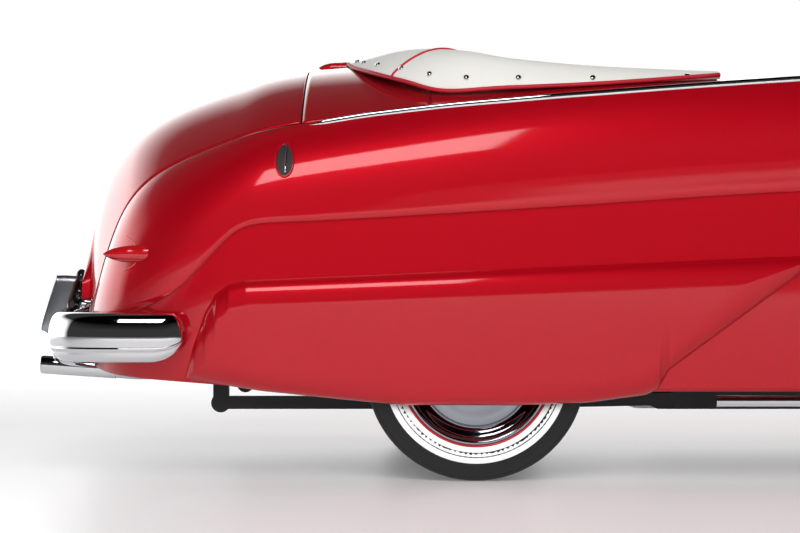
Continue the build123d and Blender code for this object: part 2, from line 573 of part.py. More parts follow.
# Steering knuckles: a kingpin upright with the spindle that carries a front wheel
for side, name in ((1, "knuckle_left"), (-1, "knuckle_right")):
    with BuildPart() as knuckle:
        with BuildSketch(Plane.XY.offset(LOWER_ARM_Z - ARM_DEPTH)):
            with Locations((FRONT_AXLE_X, KINGPIN_Y * side)):
                Circle(KINGPIN_RADIUS)
        extrude(amount=FRONT_RAIL_TOP_Z + 2 * ARM_DEPTH - LOWER_ARM_Z)
        with BuildSketch(Plane.XY.offset(LOWER_ARM_Z + 5)):
            with Locations((FRONT_AXLE_X, KINGPIN_Y * side)):
                Circle(28)
        extrude(amount=FRONT_RAIL_TOP_Z - LOWER_ARM_Z - 10)
        with BuildSketch(Plane.XZ.offset(-KINGPIN_Y * side)):
            with Locations((FRONT_AXLE_X, HUB_Z)):
                Circle(STUB_RADIUS)
        extrude(amount=-side * (FRONT_TRACK / 2 + 10 - KINGPIN_Y))
    export(knuckle.part, name)

# Exhaust: a pipe each side from the engine under the floor and over the axle to a tip below the bumper
PIPE_RADIUS = 25
PIPE_BEND = 60
TIP_Y = 530
TIP_X = TAIL_X - 127
TIP_Z = 316
MANIFOLD_X = ENGINE_REAR_X + 80
MANIFOLD_Z = 470
UNDERFLOOR_Z = 200
OVER_AXLE_Z = 420
TAIL_PIPE_Z = 296
PIPE_Y = 330
Knot = namedtuple("Knot", "x y z")
PIPE_ROUTE = [
    Knot(MANIFOLD_X, ENGINE_HALF_WIDTH, MANIFOLD_Z),
    Knot(MANIFOLD_X, PIPE_Y, MANIFOLD_Z),
    Knot(MANIFOLD_X, PIPE_Y, UNDERFLOOR_Z),
    Knot(REAR_AXLE_X + 490, PIPE_Y, UNDERFLOOR_Z),
    Knot(REAR_AXLE_X + 150, PIPE_Y, OVER_AXLE_Z),
    Knot(REAR_AXLE_X - 170, PIPE_Y, OVER_AXLE_Z),
    Knot(REAR_AXLE_X - 450, PIPE_Y, TAIL_PIPE_Z),
    Knot(TAIL_X + 325, PIPE_Y, TAIL_PIPE_Z - 4),
    Knot(TAIL_X + 160, TIP_Y, TAIL_PIPE_Z),
    Knot(TIP_X, TIP_Y, TIP_Z),
]
with BuildPart() as exhaust_pipes:
    for side in (-1, 1):
        with BuildLine() as run:
            FilletPolyline(*[(knot.x, knot.y * side, knot.z) for knot in PIPE_ROUTE], radius=PIPE_BEND)
        with BuildSketch(Plane(run.line @ 0, z_dir=run.line % 0)):
            Circle(PIPE_RADIUS)
        sweep(path=run.line)
export(exhaust_pipes.part, "exhaust_pipes")

# Fuel tank: under the trunk floor between the rails
with BuildPart() as fuel_tank:
    with Locations(((REAR_RAIL_X + REAR_AXLE_X - 300) / 2, 0, REAR_RAIL_TOP_Z)):
        Box(420, 480, 190, align=(Align.CENTER, Align.CENTER, Align.MAX))
export(fuel_tank.part, "fuel_tank")

# Pieces seated on the skin are cut by the body's form grown by the seat clearance
body_seat = body_loft(-SEAT_CLEARANCE, 0)

# Fender skirts: bulged covers over the rear wheels, following the side at a stand-off
SKIRT_STAND = 45
SKIRT_OUTLINE = [(-817, 288), (-725, 530), (-700, 552), (-670, 562), (944, 635), (958, 628), (528, 312),
                 (505, 260), (309, 224), (-213, 217), (-597, 255)]
skirt_outside = body_loft(-SKIRT_STAND, 60)
with BuildPart() as fender_skirts:
    add(skirt_outside)
    with BuildSketch(Plane.XZ.offset(-ABOVE)):
        Polygon(*[(REAR_AXLE_X + x, z) for x, z in SKIRT_OUTLINE], align=None)
    extrude(amount=2 * ABOVE, mode=Mode.INTERSECT)
    add(body_seat, mode=Mode.SUBTRACT)
    with BuildSketch(Plane.XY):
        Rectangle(2 * LENGTH, 2 * SKIRT_INNER_Y)
    extrude(amount=ABOVE, mode=Mode.SUBTRACT)
export(fender_skirts.part, "fender_skirts")

# Lake pipes: under the sills
LAKE_RADIUS = 16
LAKE_Y = 866
LAKE_Z = 228
LAKE_REAR_X = REAR_AXLE_X + 667
with BuildPart() as lake_pipes:
    for side in (-1, 1):
        with BuildSketch(Plane.YZ.offset(LAKE_REAR_X)):
            with Locations((LAKE_Y * side, LAKE_Z)):
                Circle(LAKE_RADIUS)
        extrude(amount=DOOR_FRONT_X - 40 - LAKE_REAR_X)
        for x in (DOOR_REAR_X + 80, DOOR_MIDDLE_X, DOOR_FRONT_X - 120):
            with Locations((x, LAKE_Y * side, LAKE_Z)):
                Box(30, 16, 40, align=(Align.CENTER, Align.CENTER, Align.MIN))
    add(body_seat, mode=Mode.SUBTRACT)
export(lake_pipes.part, "lake_pipes")

# Windscreen: a two-pane vee on the cowl in a chrome frame
SCREEN_BASE = Vector(DOOR_FRONT_X - 90, 0, 1165)
SCREEN_BASE_CORNER = Vector(DOOR_FRONT_X - 250, 700, 1120)
SCREEN_TOP = Vector(DOOR_FRONT_X - 290, 0, 1478)
SCREEN_TOP_CORNER = Vector(DOOR_FRONT_X - 430, 645, 1440)
SCREEN_RAIL = 30
GLASS_WALL = 7
along = (SCREEN_BASE_CORNER - SCREEN_BASE).normalized()
screen_plane = Plane(SCREEN_BASE, x_dir=along, z_dir=along.cross(SCREEN_TOP - SCREEN_BASE))
SCREEN_CORNERS = [SCREEN_BASE, SCREEN_BASE_CORNER, SCREEN_TOP_CORNER, SCREEN_TOP]
outline = [(p.X, p.Y) for p in (screen_plane.to_local_coords(corner) for corner in SCREEN_CORNERS)]
with BuildPart() as windscreen_frame:
    with BuildSketch(screen_plane):
        Polygon(*outline, align=None)
        offset(amount=-SCREEN_RAIL, mode=Mode.SUBTRACT)
    extrude(amount=SCREEN_RAIL / 2, both=True)
    with BuildSketch(Plane.XZ):
        Rectangle(2 * LENGTH, 2 * LENGTH)
    extrude(amount=LENGTH, mode=Mode.SUBTRACT)
    mirror(about=Plane.XZ)
    add(body_seat, mode=Mode.SUBTRACT)
export(windscreen_frame.part, "windscreen_frame")
with BuildPart() as windscreen_glass:
    with BuildSketch(screen_plane):
        Polygon(*outline, align=None)
        offset(amount=-SCREEN_RAIL - RUNNING_CLEARANCE, mode=Mode.REPLACE)
    extrude(amount=GLASS_WALL / 2, both=True)
    mirror(about=Plane.XZ)
    add(body_seat, mode=Mode.SUBTRACT)
export(windscreen_glass.part, "windscreen_glass")

# Dashboard under the cowl's rear edge
DASH_BOTTOM_Z = 925
with BuildPart() as dashboard:
    add(body_lining)
    with BuildSketch(Plane.XY.offset(DASH_BOTTOM_Z)):
        Polygon((COWL_REAR_X - 40, -COWL_HALF_WIDTH), (COWL_REAR_X + 50, -COWL_HALF_WIDTH),
                (COWL_REAR_X + 50, COWL_HALF_WIDTH), (COWL_REAR_X - 40, COWL_HALF_WIDTH), align=None)
    extrude(amount=ABOVE, mode=Mode.INTERSECT)
export(dashboard.part, "dashboard")

# Steering column and wheel, on the left
STEER_Y = 370
STEER_HUB = Vector(DOOR_FRONT_X - 520, STEER_Y, 1000)
COLUMN_FOOT = Vector(FIREWALL_FRONT_X - FIREWALL_WALL, STEER_Y, 715)
COLUMN_RADIUS = 24
STEER_RADIUS = 215
STEER_TUBE = 13
STEER_PIN = 11
column_dir = (COLUMN_FOOT - STEER_HUB).normalized()
wheel_plane = Plane(STEER_HUB, x_dir=(0, 1, 0), z_dir=column_dir)
with BuildPart() as steering_column:
    with BuildSketch(wheel_plane.offset(40)):
        Circle(COLUMN_RADIUS)
    extrude(amount=(COLUMN_FOOT - STEER_HUB).length)
    with BuildSketch(wheel_plane.offset(-10)):
        Circle(STEER_PIN)
    extrude(amount=60)
    with BuildSketch(Plane.YZ.offset(FIREWALL_FRONT_X - FIREWALL_WALL)):
        Rectangle(4 * LENGTH, 4 * LENGTH)
    extrude(amount=LENGTH, mode=Mode.SUBTRACT)
export(steering_column.part, "steering_column")
with BuildPart() as steering_wheel:
    with BuildSketch(Plane(STEER_HUB, x_dir=column_dir, z_dir=(0, 1, 0))):
        with Locations((0, STEER_RADIUS)):
            Circle(STEER_TUBE)
    revolve(axis=Axis(STEER_HUB, column_dir))
    with BuildSketch(wheel_plane.offset(-25)):
        Circle(38)
    extrude(amount=60)
    with BuildSketch(wheel_plane.offset(-7)):
        Rectangle(2 * STEER_RADIUS, 30)
    extrude(amount=14)
    with BuildSketch(wheel_plane.offset(-11)):
        Circle(STEER_PIN + RUNNING_CLEARANCE)
    extrude(amount=60, mode=Mode.SUBTRACT)
export(steering_wheel.part, "steering_wheel")

# Bench seats: a cushion and a back each
SEAT_HALF_WIDTH = 665
REAR_SEAT_HALF_WIDTH = 555
CUSHION_TOP_Z = 560
Bench = namedtuple("Bench", "name half_width profile")
FRONT_BACK_X = DOOR_FRONT_X - 1010
REAR_BACK_X = AXLE_HUMP_X + 10
BENCHES = [
    Bench("front_seat_cushion", SEAT_HALF_WIDTH,
          [(FRONT_BACK_X, TUNNEL_TOP_Z), (FRONT_BACK_X + 490, TUNNEL_TOP_Z),
           (FRONT_BACK_X + 490, CUSHION_TOP_Z), (FRONT_BACK_X, CUSHION_TOP_Z - 40)]),
    Bench("front_seat_back", SEAT_HALF_WIDTH,
          [(FRONT_BACK_X, TUNNEL_TOP_Z), (FRONT_BACK_X, CUSHION_TOP_Z), (FRONT_BACK_X - 130, 1010),
           (FRONT_BACK_X - 250, 1000), (FRONT_BACK_X - 140, TUNNEL_TOP_Z)]),
    Bench("rear_seat_cushion", REAR_SEAT_HALF_WIDTH,
          [(REAR_BACK_X, SEAT_PAN_Z), (HEEL_X - 40, SEAT_PAN_Z), (HEEL_X, CUSHION_TOP_Z + 40),
           (REAR_BACK_X, CUSHION_TOP_Z)]),
    Bench("rear_seat_back", REAR_SEAT_HALF_WIDTH,
          [(REAR_BACK_X, SEAT_PAN_Z), (REAR_BACK_X, CUSHION_TOP_Z + 30), (REAR_BACK_X - 150, 1070),
           (REAR_BACK_X - 270, 1060), (REAR_BACK_X - 130, TRUNK_FLOOR_Z), (AXLE_HUMP_X - 60, TRUNK_FLOOR_Z),
           (AXLE_HUMP_X, SEAT_PAN_Z)]),
]
for bench in BENCHES:
    with BuildPart() as cushion:
        with BuildSketch(Plane.XZ):
            Polygon(*bench.profile, align=None)
        extrude(amount=bench.half_width, both=True)
    export(cushion.part, bench.name)

# Boot cover over the folded top: a soft hump round the back of the cockpit with an arm along each side
COVER_HALF_WIDTH = 790
COVER_REAR_X = REAR_AXLE_X - 385
COVER_FRONT_X = REAR_AXLE_X + 690
COVER_FOOT_Z = 1000
COVER_PROFILE = [(COVER_REAR_X, COVER_FOOT_Z), (COVER_REAR_X, 1244), (REAR_AXLE_X - 228, 1266),
                 (REAR_AXLE_X - 100, 1288), (REAR_AXLE_X - 20, 1282), (REAR_AXLE_X + 90, 1243),
                 (REAR_AXLE_X + 358, 1182), (COVER_FRONT_X, 1162), (COVER_FRONT_X, COVER_FOOT_Z)]
COVER_CORNER = 300
COVER_ARM = 150
COVER_INNER_CORNER = 140
with BuildPart() as boot_cover:
    with BuildSketch(Plane.XZ.offset(-COVER_HALF_WIDTH)):
        Polygon(*COVER_PROFILE, align=None)
    extrude(amount=2 * COVER_HALF_WIDTH)
    with BuildSketch(Plane.XY):
        with Locations((COVER_REAR_X, 0)):
            RectangleRounded(2 * COVER_FRONT_X - 2 * COVER_REAR_X, 2 * COVER_HALF_WIDTH, COVER_CORNER,
                             align=(Align.MIN, Align.CENTER))
    extrude(amount=ABOVE, mode=Mode.INTERSECT)
    with BuildSketch(Plane.XY):
        with Locations((REAR_AXLE_X - 20, 0)):
            RectangleRounded(LENGTH, 2 * (COVER_HALF_WIDTH - COVER_ARM), COVER_INNER_CORNER,
                             align=(Align.MIN, Align.CENTER))
    extrude(amount=ABOVE, mode=Mode.SUBTRACT)
    add(body_seat, mode=Mode.SUBTRACT)
export(boot_cover.part, "boot_cover")

# Bumpers: a rounded bar wrapped round each end on two irons, the rear one with the blank plate's cradle
BUMPER_DEPTH = 142
BUMPER_WALL = 46
BUMPER_HOLLOW = 18
BUMPER_BEND = 150
PLATE_HALF_WIDTH = 160
PLATE_GUARD = [(TAIL_X - 105, 398), (TAIL_X - 175, 398), (TAIL_X - 190, 438), (TAIL_X - 133, 568),
               (TAIL_X - 70, 570), (TAIL_X - 105, 475)]
Bumper = namedtuple("Bumper", "name outline z iron_start iron_end iron_z guard")
BUMPERS = [
    Bumper("rear_bumper", [(TAIL_X + 319, 905), (TAIL_X - 34, 870), (TAIL_X - 85, 0)], 414,
           REAR_RAIL_X, TAIL_X - 85, REAR_IRON_Z, PLATE_GUARD),
    Bumper("front_bumper", [(NOSE_X - 270, 905), (NOSE_X - 10, 850), (NOSE_X + 110, 0)], 400,
           FRONT_RAIL_X, NOSE_X + 71, FRONT_IRON_Z, None),
]
for bumper in BUMPERS:
    end, corner, middle = bumper.outline
    turned = [(x, -y) for x, y in (corner, end)]
    outward = -1 if middle[0] > 0 else 1
    with BuildPart() as bar:
        with BuildLine(Plane.XY.offset(bumper.z)) as run:
            FilletPolyline(end, corner, middle, *turned, radius=BUMPER_BEND)
        with BuildSketch(Plane(run.line @ 0, x_dir=(0, 0, 1), z_dir=run.line % 0)):
            with BuildLine():
                ThreePointArc((-BUMPER_DEPTH / 2, 0), (0, outward * BUMPER_WALL), (BUMPER_DEPTH / 2, 0))
                ThreePointArc((BUMPER_DEPTH / 2, 0), (0, outward * (BUMPER_WALL - BUMPER_HOLLOW)),
                              (-BUMPER_DEPTH / 2, 0))
            make_face()
        sweep(path=run.line)
        for side in (-1, 1):
            with Locations(((bumper.iron_start + bumper.iron_end) / 2, IRON_Y * side, bumper.iron_z)):
                Box(abs(bumper.iron_end - bumper.iron_start), IRON_WIDTH, IRON_DEPTH)
        if bumper.guard:
            with BuildSketch(Plane.XZ):
                Polygon(*bumper.guard, align=None)
            extrude(amount=PLATE_HALF_WIDTH, both=True)
    export(bar.part, bumper.name)

# Headlamps in the nose panel's holes: a bowl behind and a domed lens in front
LAMP_BACK_X = FENDER_FRONT_X + 20
LAMP_RIM_X = FENDER_FRONT_X + 130
LAMP_FRONT_X = FENDER_FRONT_X + 160
LAMP_RIM = HEADLAMP_RADIUS - RUNNING_CLEARANCE
with BuildPart() as headlamps:
    for side in (-1, 1):
        with BuildSketch(Plane.XY.offset(HEADLAMP_Z)):
            with BuildLine():
                Polyline((LAMP_BACK_X, HEADLAMP_Y * side), (LAMP_BACK_X, (HEADLAMP_Y + 60) * side),
                         (LAMP_BACK_X + 40, (HEADLAMP_Y + LAMP_RIM) * side),
                         (LAMP_RIM_X, (HEADLAMP_Y + LAMP_RIM) * side))
                ThreePointArc((LAMP_RIM_X, (HEADLAMP_Y + LAMP_RIM) * side),
                              (LAMP_RIM_X + 22, (HEADLAMP_Y + 60) * side),
                              (LAMP_FRONT_X, (HEADLAMP_Y + 10) * side))
                Polyline((LAMP_FRONT_X, (HEADLAMP_Y + 10) * side), (LAMP_FRONT_X, HEADLAMP_Y * side),
                         (LAMP_BACK_X, HEADLAMP_Y * side))
            make_face()
        revolve(axis=Axis((0, HEADLAMP_Y * side, HEADLAMP_Z), (1, 0, 0)))
export(headlamps.part, "headlamps")

# Tail lamps: a bullet each side, and one on the middle line behind the cover
LAMP_RADIUS = 24
Lamp = namedtuple("Lamp", "tip_x y z length")
LAMPS = [
    Lamp(TAIL_X + 90, 790, 637, 160),
    Lamp(TAIL_X + 90, -790, 637, 160),
    Lamp(DECK_FRONT_X + 21, 0, 1226, 78),
]
with BuildPart() as tail_lamps:
    for lamp in LAMPS:
        with BuildSketch(Plane.XY.offset(lamp.z)):
            with BuildLine():
                Polyline((lamp.tip_x + lamp.length, lamp.y), (lamp.tip_x + lamp.length, lamp.y + LAMP_RADIUS),
                         (lamp.tip_x + 45, lamp.y + LAMP_RADIUS))
                ThreePointArc((lamp.tip_x + 45, lamp.y + LAMP_RADIUS), (lamp.tip_x + 14, lamp.y + 17),
                              (lamp.tip_x, lamp.y + 5))
                Polyline((lamp.tip_x, lamp.y + 5), (lamp.tip_x, lamp.y), (lamp.tip_x + lamp.length, lamp.y))
            make_face()
        revolve(axis=Axis((0, lamp.y, lamp.z), (1, 0, 0)))
    add(body_seat, mode=Mode.SUBTRACT)
export(tail_lamps.part, "tail_lamps")

# Grille: upright teeth in a frame that fills the nose's opening
GRILLE_TOOTH = 26
GRILLE_PITCH = 56
GRILLE_RIM = 20
grille_height = GRILLE_TOP_Z - GRILLE_BOTTOM_Z - 2 * RUNNING_CLEARANCE
grille_width = 2 * GRILLE_HALF_WIDTH - 2 * RUNNING_CLEARANCE
grille_z = (GRILLE_BOTTOM_Z + GRILLE_TOP_Z) / 2
with BuildPart() as grille:
    with BuildSketch(Plane.YZ.offset(NOSE_X - PANEL_WALL)):
        with Locations((0, grille_z)):
            SlotOverall(grille_width, grille_height)
            SlotOverall(grille_width - 2 * GRILLE_RIM, grille_height - 2 * GRILLE_RIM, mode=Mode.SUBTRACT)
            with GridLocations(GRILLE_PITCH, 0, 13, 1):
                Rectangle(GRILLE_TOOTH, grille_height - GRILLE_RIM)
    extrude(amount=PANEL_WALL - 5)
export(grille.part, "grille")
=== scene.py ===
# %% [markdown]
# # A lowered 1950s convertible in a white studio
#
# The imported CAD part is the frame: it says where every body is and how it moves. This script gives it its
# looks. The rear body, which is the part seen closest, is drawn as one smooth surface of two parameters:
# the place along the car, and the way round a cross-section made of three arcs. Panels are pieces of that
# surface.

# %% Load the frame
import json
import math

import bpy
import numpy as np
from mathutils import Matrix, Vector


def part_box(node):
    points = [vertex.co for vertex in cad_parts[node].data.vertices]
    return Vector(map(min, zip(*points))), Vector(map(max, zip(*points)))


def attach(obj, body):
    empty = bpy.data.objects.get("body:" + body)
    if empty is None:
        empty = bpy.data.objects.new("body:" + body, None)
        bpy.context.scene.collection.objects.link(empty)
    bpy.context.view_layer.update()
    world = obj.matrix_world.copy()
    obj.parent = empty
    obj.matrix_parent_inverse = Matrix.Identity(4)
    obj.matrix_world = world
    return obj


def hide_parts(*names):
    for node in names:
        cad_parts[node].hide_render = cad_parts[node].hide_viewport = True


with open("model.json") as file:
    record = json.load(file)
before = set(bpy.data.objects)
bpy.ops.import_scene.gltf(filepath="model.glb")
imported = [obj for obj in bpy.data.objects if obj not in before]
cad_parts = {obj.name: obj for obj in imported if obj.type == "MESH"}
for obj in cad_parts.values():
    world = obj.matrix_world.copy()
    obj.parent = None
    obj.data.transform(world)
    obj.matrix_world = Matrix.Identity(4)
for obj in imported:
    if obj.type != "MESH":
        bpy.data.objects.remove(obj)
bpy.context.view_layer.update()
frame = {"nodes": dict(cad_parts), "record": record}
nodes = frame["nodes"]

# %% [markdown]
# ## Driving places
#
# The wheels' hubs come from the frame's own boxes, and everything along the car is counted from the rear
# axle.

# %% Places taken from the frame
def middle(node):
    low, high = np.array(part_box(node)[0]), np.array(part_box(node)[1])
    return (low + high) / 2


CORNERS = ("rear_left", "rear_right", "front_left", "front_right")
HUBS = {corner: middle(f"tyre_{corner}") for corner in CORNERS}
REAR_AXLE_X = HUBS["rear_right"][0]
FRONT_AXLE_X = HUBS["front_right"][0]
TAIL_X = REAR_AXLE_X - 1.135
DECK_FRONT_X = REAR_AXLE_X - 0.490
DOOR_REAR_X = REAR_AXLE_X + 0.977
DOOR_FRONT_X = FRONT_AXLE_X - 0.887
PANEL_GAP = 0.005
SHEET = 0.004
print("rear axle at", round(REAR_AXLE_X, 3), "front axle at", round(FRONT_AXLE_X, 3))

# %% [markdown]
# ## Mesh helpers
#
# A piece is a grid of points: an array of rows and columns. Its faces are the grid's cells, made in one go
# with whole-array index arithmetic. A closed grid joins its last column to its first.

# %% Grids, revolves and tubes
def grid_piece(name, points, closed_columns=False, cap_rows=False):
    """A mesh from points[row, column, xyz]: each cell is a face, and a cap closes the first and last row."""
    rows, columns = points.shape[:2]
    index = np.arange(rows * columns).reshape(rows, columns)
    right = np.roll(index, -1, axis=1) if closed_columns else index[:, 1:]
    left = index if closed_columns else index[:, :-1]
    faces = np.stack([left[:-1], right[:-1], right[1:], left[1:]], axis=-1).reshape(-1, 4).tolist()
    if cap_rows:
        faces += [index[0, ::-1].tolist(), index[-1].tolist()]
    mesh = bpy.data.meshes.new(name)
    mesh.from_pydata(points.reshape(-1, 3).tolist(), [], faces)
    mesh.polygons.foreach_set("use_smooth", np.ones(len(faces), dtype=bool))
    mesh.update()
    piece = bpy.data.objects.new(name, mesh)
    bpy.context.scene.collection.objects.link(piece)
    return piece


def dress(piece, body, material, replaces=()):
    """Gives a piece its material and its body, and hides the CAD nodes that it stands for."""
    piece.data.materials.append(material)
    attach(piece, body)
    if replaces:
        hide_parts(*replaces)
    return piece


def thicken(piece, wall, offset=-1.0):
    solid = piece.modifiers.new("wall", "SOLIDIFY")
    solid.thickness = wall
    solid.offset = offset
    solid.use_even_offset = False
    return piece


def spun(profile, centre, outward, turns=96):
    """A profile of (radius, offset) spun about the axle through centre, its offset counted outward."""
    angle = np.linspace(0, 2 * np.pi, turns, endpoint=False)
    radius, offset = np.array(profile).T
    x = centre[0] + np.outer(radius, np.cos(angle))
    z = centre[2] + np.outer(radius, np.sin(angle))
    y = np.broadcast_to((centre[1] + outward * offset)[:, None], x.shape)
    return np.stack([x, y, z], axis=-1)


def smooth_path(knots, count):
    """A Catmull-Rom curve through the knots, read at count even steps of the knots' own count."""
    knots = np.array(knots, dtype=float)
    padded = np.vstack([2 * knots[0] - knots[1], knots, 2 * knots[-1] - knots[-2]])
    place = np.linspace(0, len(knots) - 1, count)
    step = np.minimum(place.astype(int), len(knots) - 2)
    t = (place - step)[:, None]
    p0, p1, p2, p3 = (padded[step + k] for k in range(4))
    return 0.5 * (2 * p1 + (p2 - p0) * t + (2 * p0 - 5 * p1 + 4 * p2 - p3) * t ** 2
                  + (3 * p1 - p0 - 3 * p2 + p3) * t ** 3)


def tube_points(path, radius, sides=16, deep=1.0):
    """A tube of that radius round a path; deep scales it sideways, and radius may vary along the path."""
    ahead = np.gradient(path, axis=0)
    ahead /= np.linalg.norm(ahead, axis=1, keepdims=True)
    up = np.array([0.0, 0.0, 1.0]) - ahead * ahead[:, 2:3]
    up /= np.linalg.norm(up, axis=1, keepdims=True)
    side = np.cross(ahead, up)
    angle = np.linspace(0, 2 * np.pi, sides, endpoint=False)
    radius = np.broadcast_to(radius, len(path))[:, None, None]
    ring = deep * np.cos(angle)[None, :, None] * side[:, None] + np.sin(angle)[None, :, None] * up[:, None]
    return path[:, None] + radius * ring

# %% [markdown]
# ## Materials
#
# Candy paint is a metallic red under a thick clear coat, with a fine flake in its roughness. Chrome has
# faint polishing marks. Rubber, cloth and leather get their grain from noise in object coordinates.

# %% Materials
def principled(name, colour, roughness, metallic=0.0, **sockets):
    material = bpy.data.materials.new(name)
    material.use_nodes = True
    shader = material.node_tree.nodes["Principled BSDF"]
    shader.inputs["Base Color"].default_value = (*colour, 1)
    shader.inputs["Roughness"].default_value = roughness
    shader.inputs["Metallic"].default_value = metallic
    for socket, value in sockets.items():
        shader.inputs[socket.replace("_", " ")].default_value = value
    return material


def add_grain(material, scale, bump, low, high, distance=0.001):
    """Noise in object coordinates drives the roughness between low and high and a slight bump."""
    tree = material.node_tree
    shader = tree.nodes["Principled BSDF"]
    place = tree.nodes.new("ShaderNodeTexCoord")
    noise = tree.nodes.new("ShaderNodeTexNoise")
    noise.inputs["Scale"].default_value = scale
    noise.inputs["Detail"].default_value = 4
    spread = tree.nodes.new("ShaderNodeMapRange")
    spread.inputs["To Min"].default_value = low
    spread.inputs["To Max"].default_value = high
    tree.links.new(place.outputs["Object"], noise.inputs["Vector"])
    tree.links.new(noise.outputs["Fac"], spread.inputs["Value"])
    tree.links.new(spread.outputs["Result"], shader.inputs["Roughness"])
    if bump:
        relief = tree.nodes.new("ShaderNodeBump")
        relief.inputs["Strength"].default_value = bump
        relief.inputs["Distance"].default_value = distance
        tree.links.new(noise.outputs["Fac"], relief.inputs["Height"])
        tree.links.new(relief.outputs["Normal"], shader.inputs["Normal"])
    return material


candy = add_grain(principled("candy_red", (0.56, 0.003, 0.013), 0.3, 0.55, Coat_Weight=1.0,
                             Coat_Roughness=0.07, Coat_IOR=1.5, Specular_IOR_Level=0.1),
                  900, 0, 0.34, 0.48)
steel = add_grain(principled("brushed_steel", (0.50, 0.52, 0.55), 0.3, 1.0), 120, 0.05, 0.22, 0.40)
stripe = principled("stripe", (0.75, 0.06, 0.01), 0.3, Coat_Weight=1.0)
smoked = principled("smoked_lens", (0.010, 0.010, 0.012), 0.08, Coat_Weight=1.0)
chrome = add_grain(principled("chrome", (0.86, 0.86, 0.88), 0.05, 1.0), 40, 0, 0.02, 0.07)
# The wheel caps' chrome is darker and bluer than the chrome: painted shade and painted reflection of the dark
# room and the skirt's shadow.
shade_darkened_chrome = add_grain(principled("shade_darkened_chrome", (0.42, 0.45, 0.50), 0.08, 1.0), 40, 0, 0.05, 0.12)
rubber = add_grain(principled("rubber", (0.012, 0.012, 0.013), 0.6), 300, 0.15, 0.45, 0.7)
whitewall = add_grain(principled("whitewall", (0.95, 0.95, 0.95), 0.5), 200, 0.05, 0.4, 0.6)
red_line = principled("red_line", (0.45, 0.01, 0.02), 0.3, Coat_Weight=0.6)
cover_cloth = add_grain(principled("cover_cloth", (0.70, 0.69, 0.65), 0.7, Sheen_Weight=0.2), 900,
                        0.35, 0.6, 0.85, 0.0006)
leather = add_grain(principled("leather", (0.78, 0.70, 0.57), 0.5), 350, 0.3, 0.38, 0.58, 0.0008)
piping = add_grain(principled("piping", (0.42, 0.01, 0.025), 0.5), 600, 0.2, 0.4, 0.6)
lens_red = principled("lens_red", (0.55, 0.006, 0.012), 0.08, Coat_Weight=1.0, Transmission_Weight=0.25)
clear_lens = principled("clear_lens", (0.9, 0.92, 0.95), 0.05, Transmission_Weight=0.6)
glass = principled("glass", (0.94, 0.98, 0.97), 0.02, Transmission_Weight=0.95, IOR=1.45)
# Black without any gloss: painted shade for the gaps at the deck lid's seams.
painted_seam_shade = principled("painted_seam_shade", (0.004, 0.003, 0.003), 0.95, Specular_IOR_Level=0.0)
black_steel = add_grain(principled("black_steel", (0.02, 0.02, 0.022), 0.5), 60, 0.1, 0.4, 0.65)
iron = add_grain(principled("iron", (0.12, 0.12, 0.125), 0.6, 0.4), 90, 0.3, 0.5, 0.75)
cream_plastic = principled("cream_plastic", (0.80, 0.74, 0.62), 0.25, Coat_Weight=0.5)

FINISHES = {
    "candy_red": candy, "chrome": chrome, "tyre": rubber, "glass": glass, "cream_leather": leather,
    "cream_fabric": cover_cloth, "red_lens": lens_red, "headlamp": clear_lens, "engine_iron": iron,
    "cream_plastic": cream_plastic, "black_steel": black_steel,
}
for part in frame["record"]["subparts"]:
    shown = nodes[part["node"]]
    shown.data.materials.clear()
    shown.data.materials.append(FINISHES[part["material_slot"]])
print(len(FINISHES), "finishes on the CAD nodes")

# %% [markdown]
# ## The body's surface
#
# Every station holds one cross-section: the crown on the middle line, the seam beside the deck, the crease
# along the side and the sill. A cubic spline through the stations, counted by station number, gives every
# place between.

# %% The stations and their spline
COLUMNS = "x crown_z seam_y seam_z shoulder crease_y crease_z side sill_y sill_z".split()
STATIONS = np.array([
    (TAIL_X, 0.850, 0.400, 0.500, 0.025, 0.430, 0.430, 0.004, 0.400, 0.340),
    (TAIL_X + 0.040, 0.938, 0.540, 0.545, 0.030, 0.620, 0.440, 0.006, 0.585, 0.312),
    (TAIL_X + 0.135, 1.038, 0.640, 0.775, 0.060, 0.790, 0.465, 0.008, 0.740, 0.292),
    (TAIL_X + 0.301, 1.120, 0.705, 0.905, 0.075, 0.880, 0.540, 0.010, 0.830, 0.280),
    (TAIL_X + 0.453, 1.171, 0.760, 0.962, 0.050, 0.908, 0.690, 0.012, 0.865, 0.270),
    (DECK_FRONT_X, 1.213, 0.800, 1.005, 0.045, 0.918, 0.728, 0.012, 0.880, 0.262),
    (REAR_AXLE_X, 1.236, 0.845, 1.060, 0.040, 0.922, 0.755, 0.012, 0.890, 0.256),
    ((REAR_AXLE_X + DOOR_REAR_X) / 2, 1.204, 0.862, 1.100, 0.036, 0.920, 0.787, 0.012, 0.890, 0.255),
    (DOOR_REAR_X, 1.175, 0.866, 1.128, 0.034, 0.917, 0.815, 0.012, 0.888, 0.255),
    ((DOOR_REAR_X + DOOR_FRONT_X) / 2, 1.180, 0.855, 1.138, 0.040, 0.918, 0.822, 0.012, 0.887, 0.255),
    (DOOR_FRONT_X, 1.183, 0.790, 1.122, 0.058, 0.924, 0.818, 0.012, 0.887, 0.256),
])


def natural_spline(values, places):
    """A natural cubic spline through values at 0, 1, 2, ..., read at places, from its second derivatives."""
    count = len(values)
    matrix = np.eye(count)
    inner = np.arange(1, count - 1)
    matrix[inner, inner - 1], matrix[inner, inner], matrix[inner, inner + 1] = 1 / 6, 4 / 6, 1 / 6
    right = np.zeros_like(values)
    right[1:-1] = values[2:] - 2 * values[1:-1] + values[:-2]
    bend = np.linalg.solve(matrix, right)
    step = np.minimum(places.astype(int), count - 2)
    b = (places - step)[:, None]
    a = 1 - b
    return (a * values[step] + b * values[step + 1]
            + ((a ** 3 - a) * bend[step] + (b ** 3 - b) * bend[step + 1]) / 6)


DENSE = natural_spline(STATIONS, np.linspace(0, len(STATIONS) - 1, 2001))


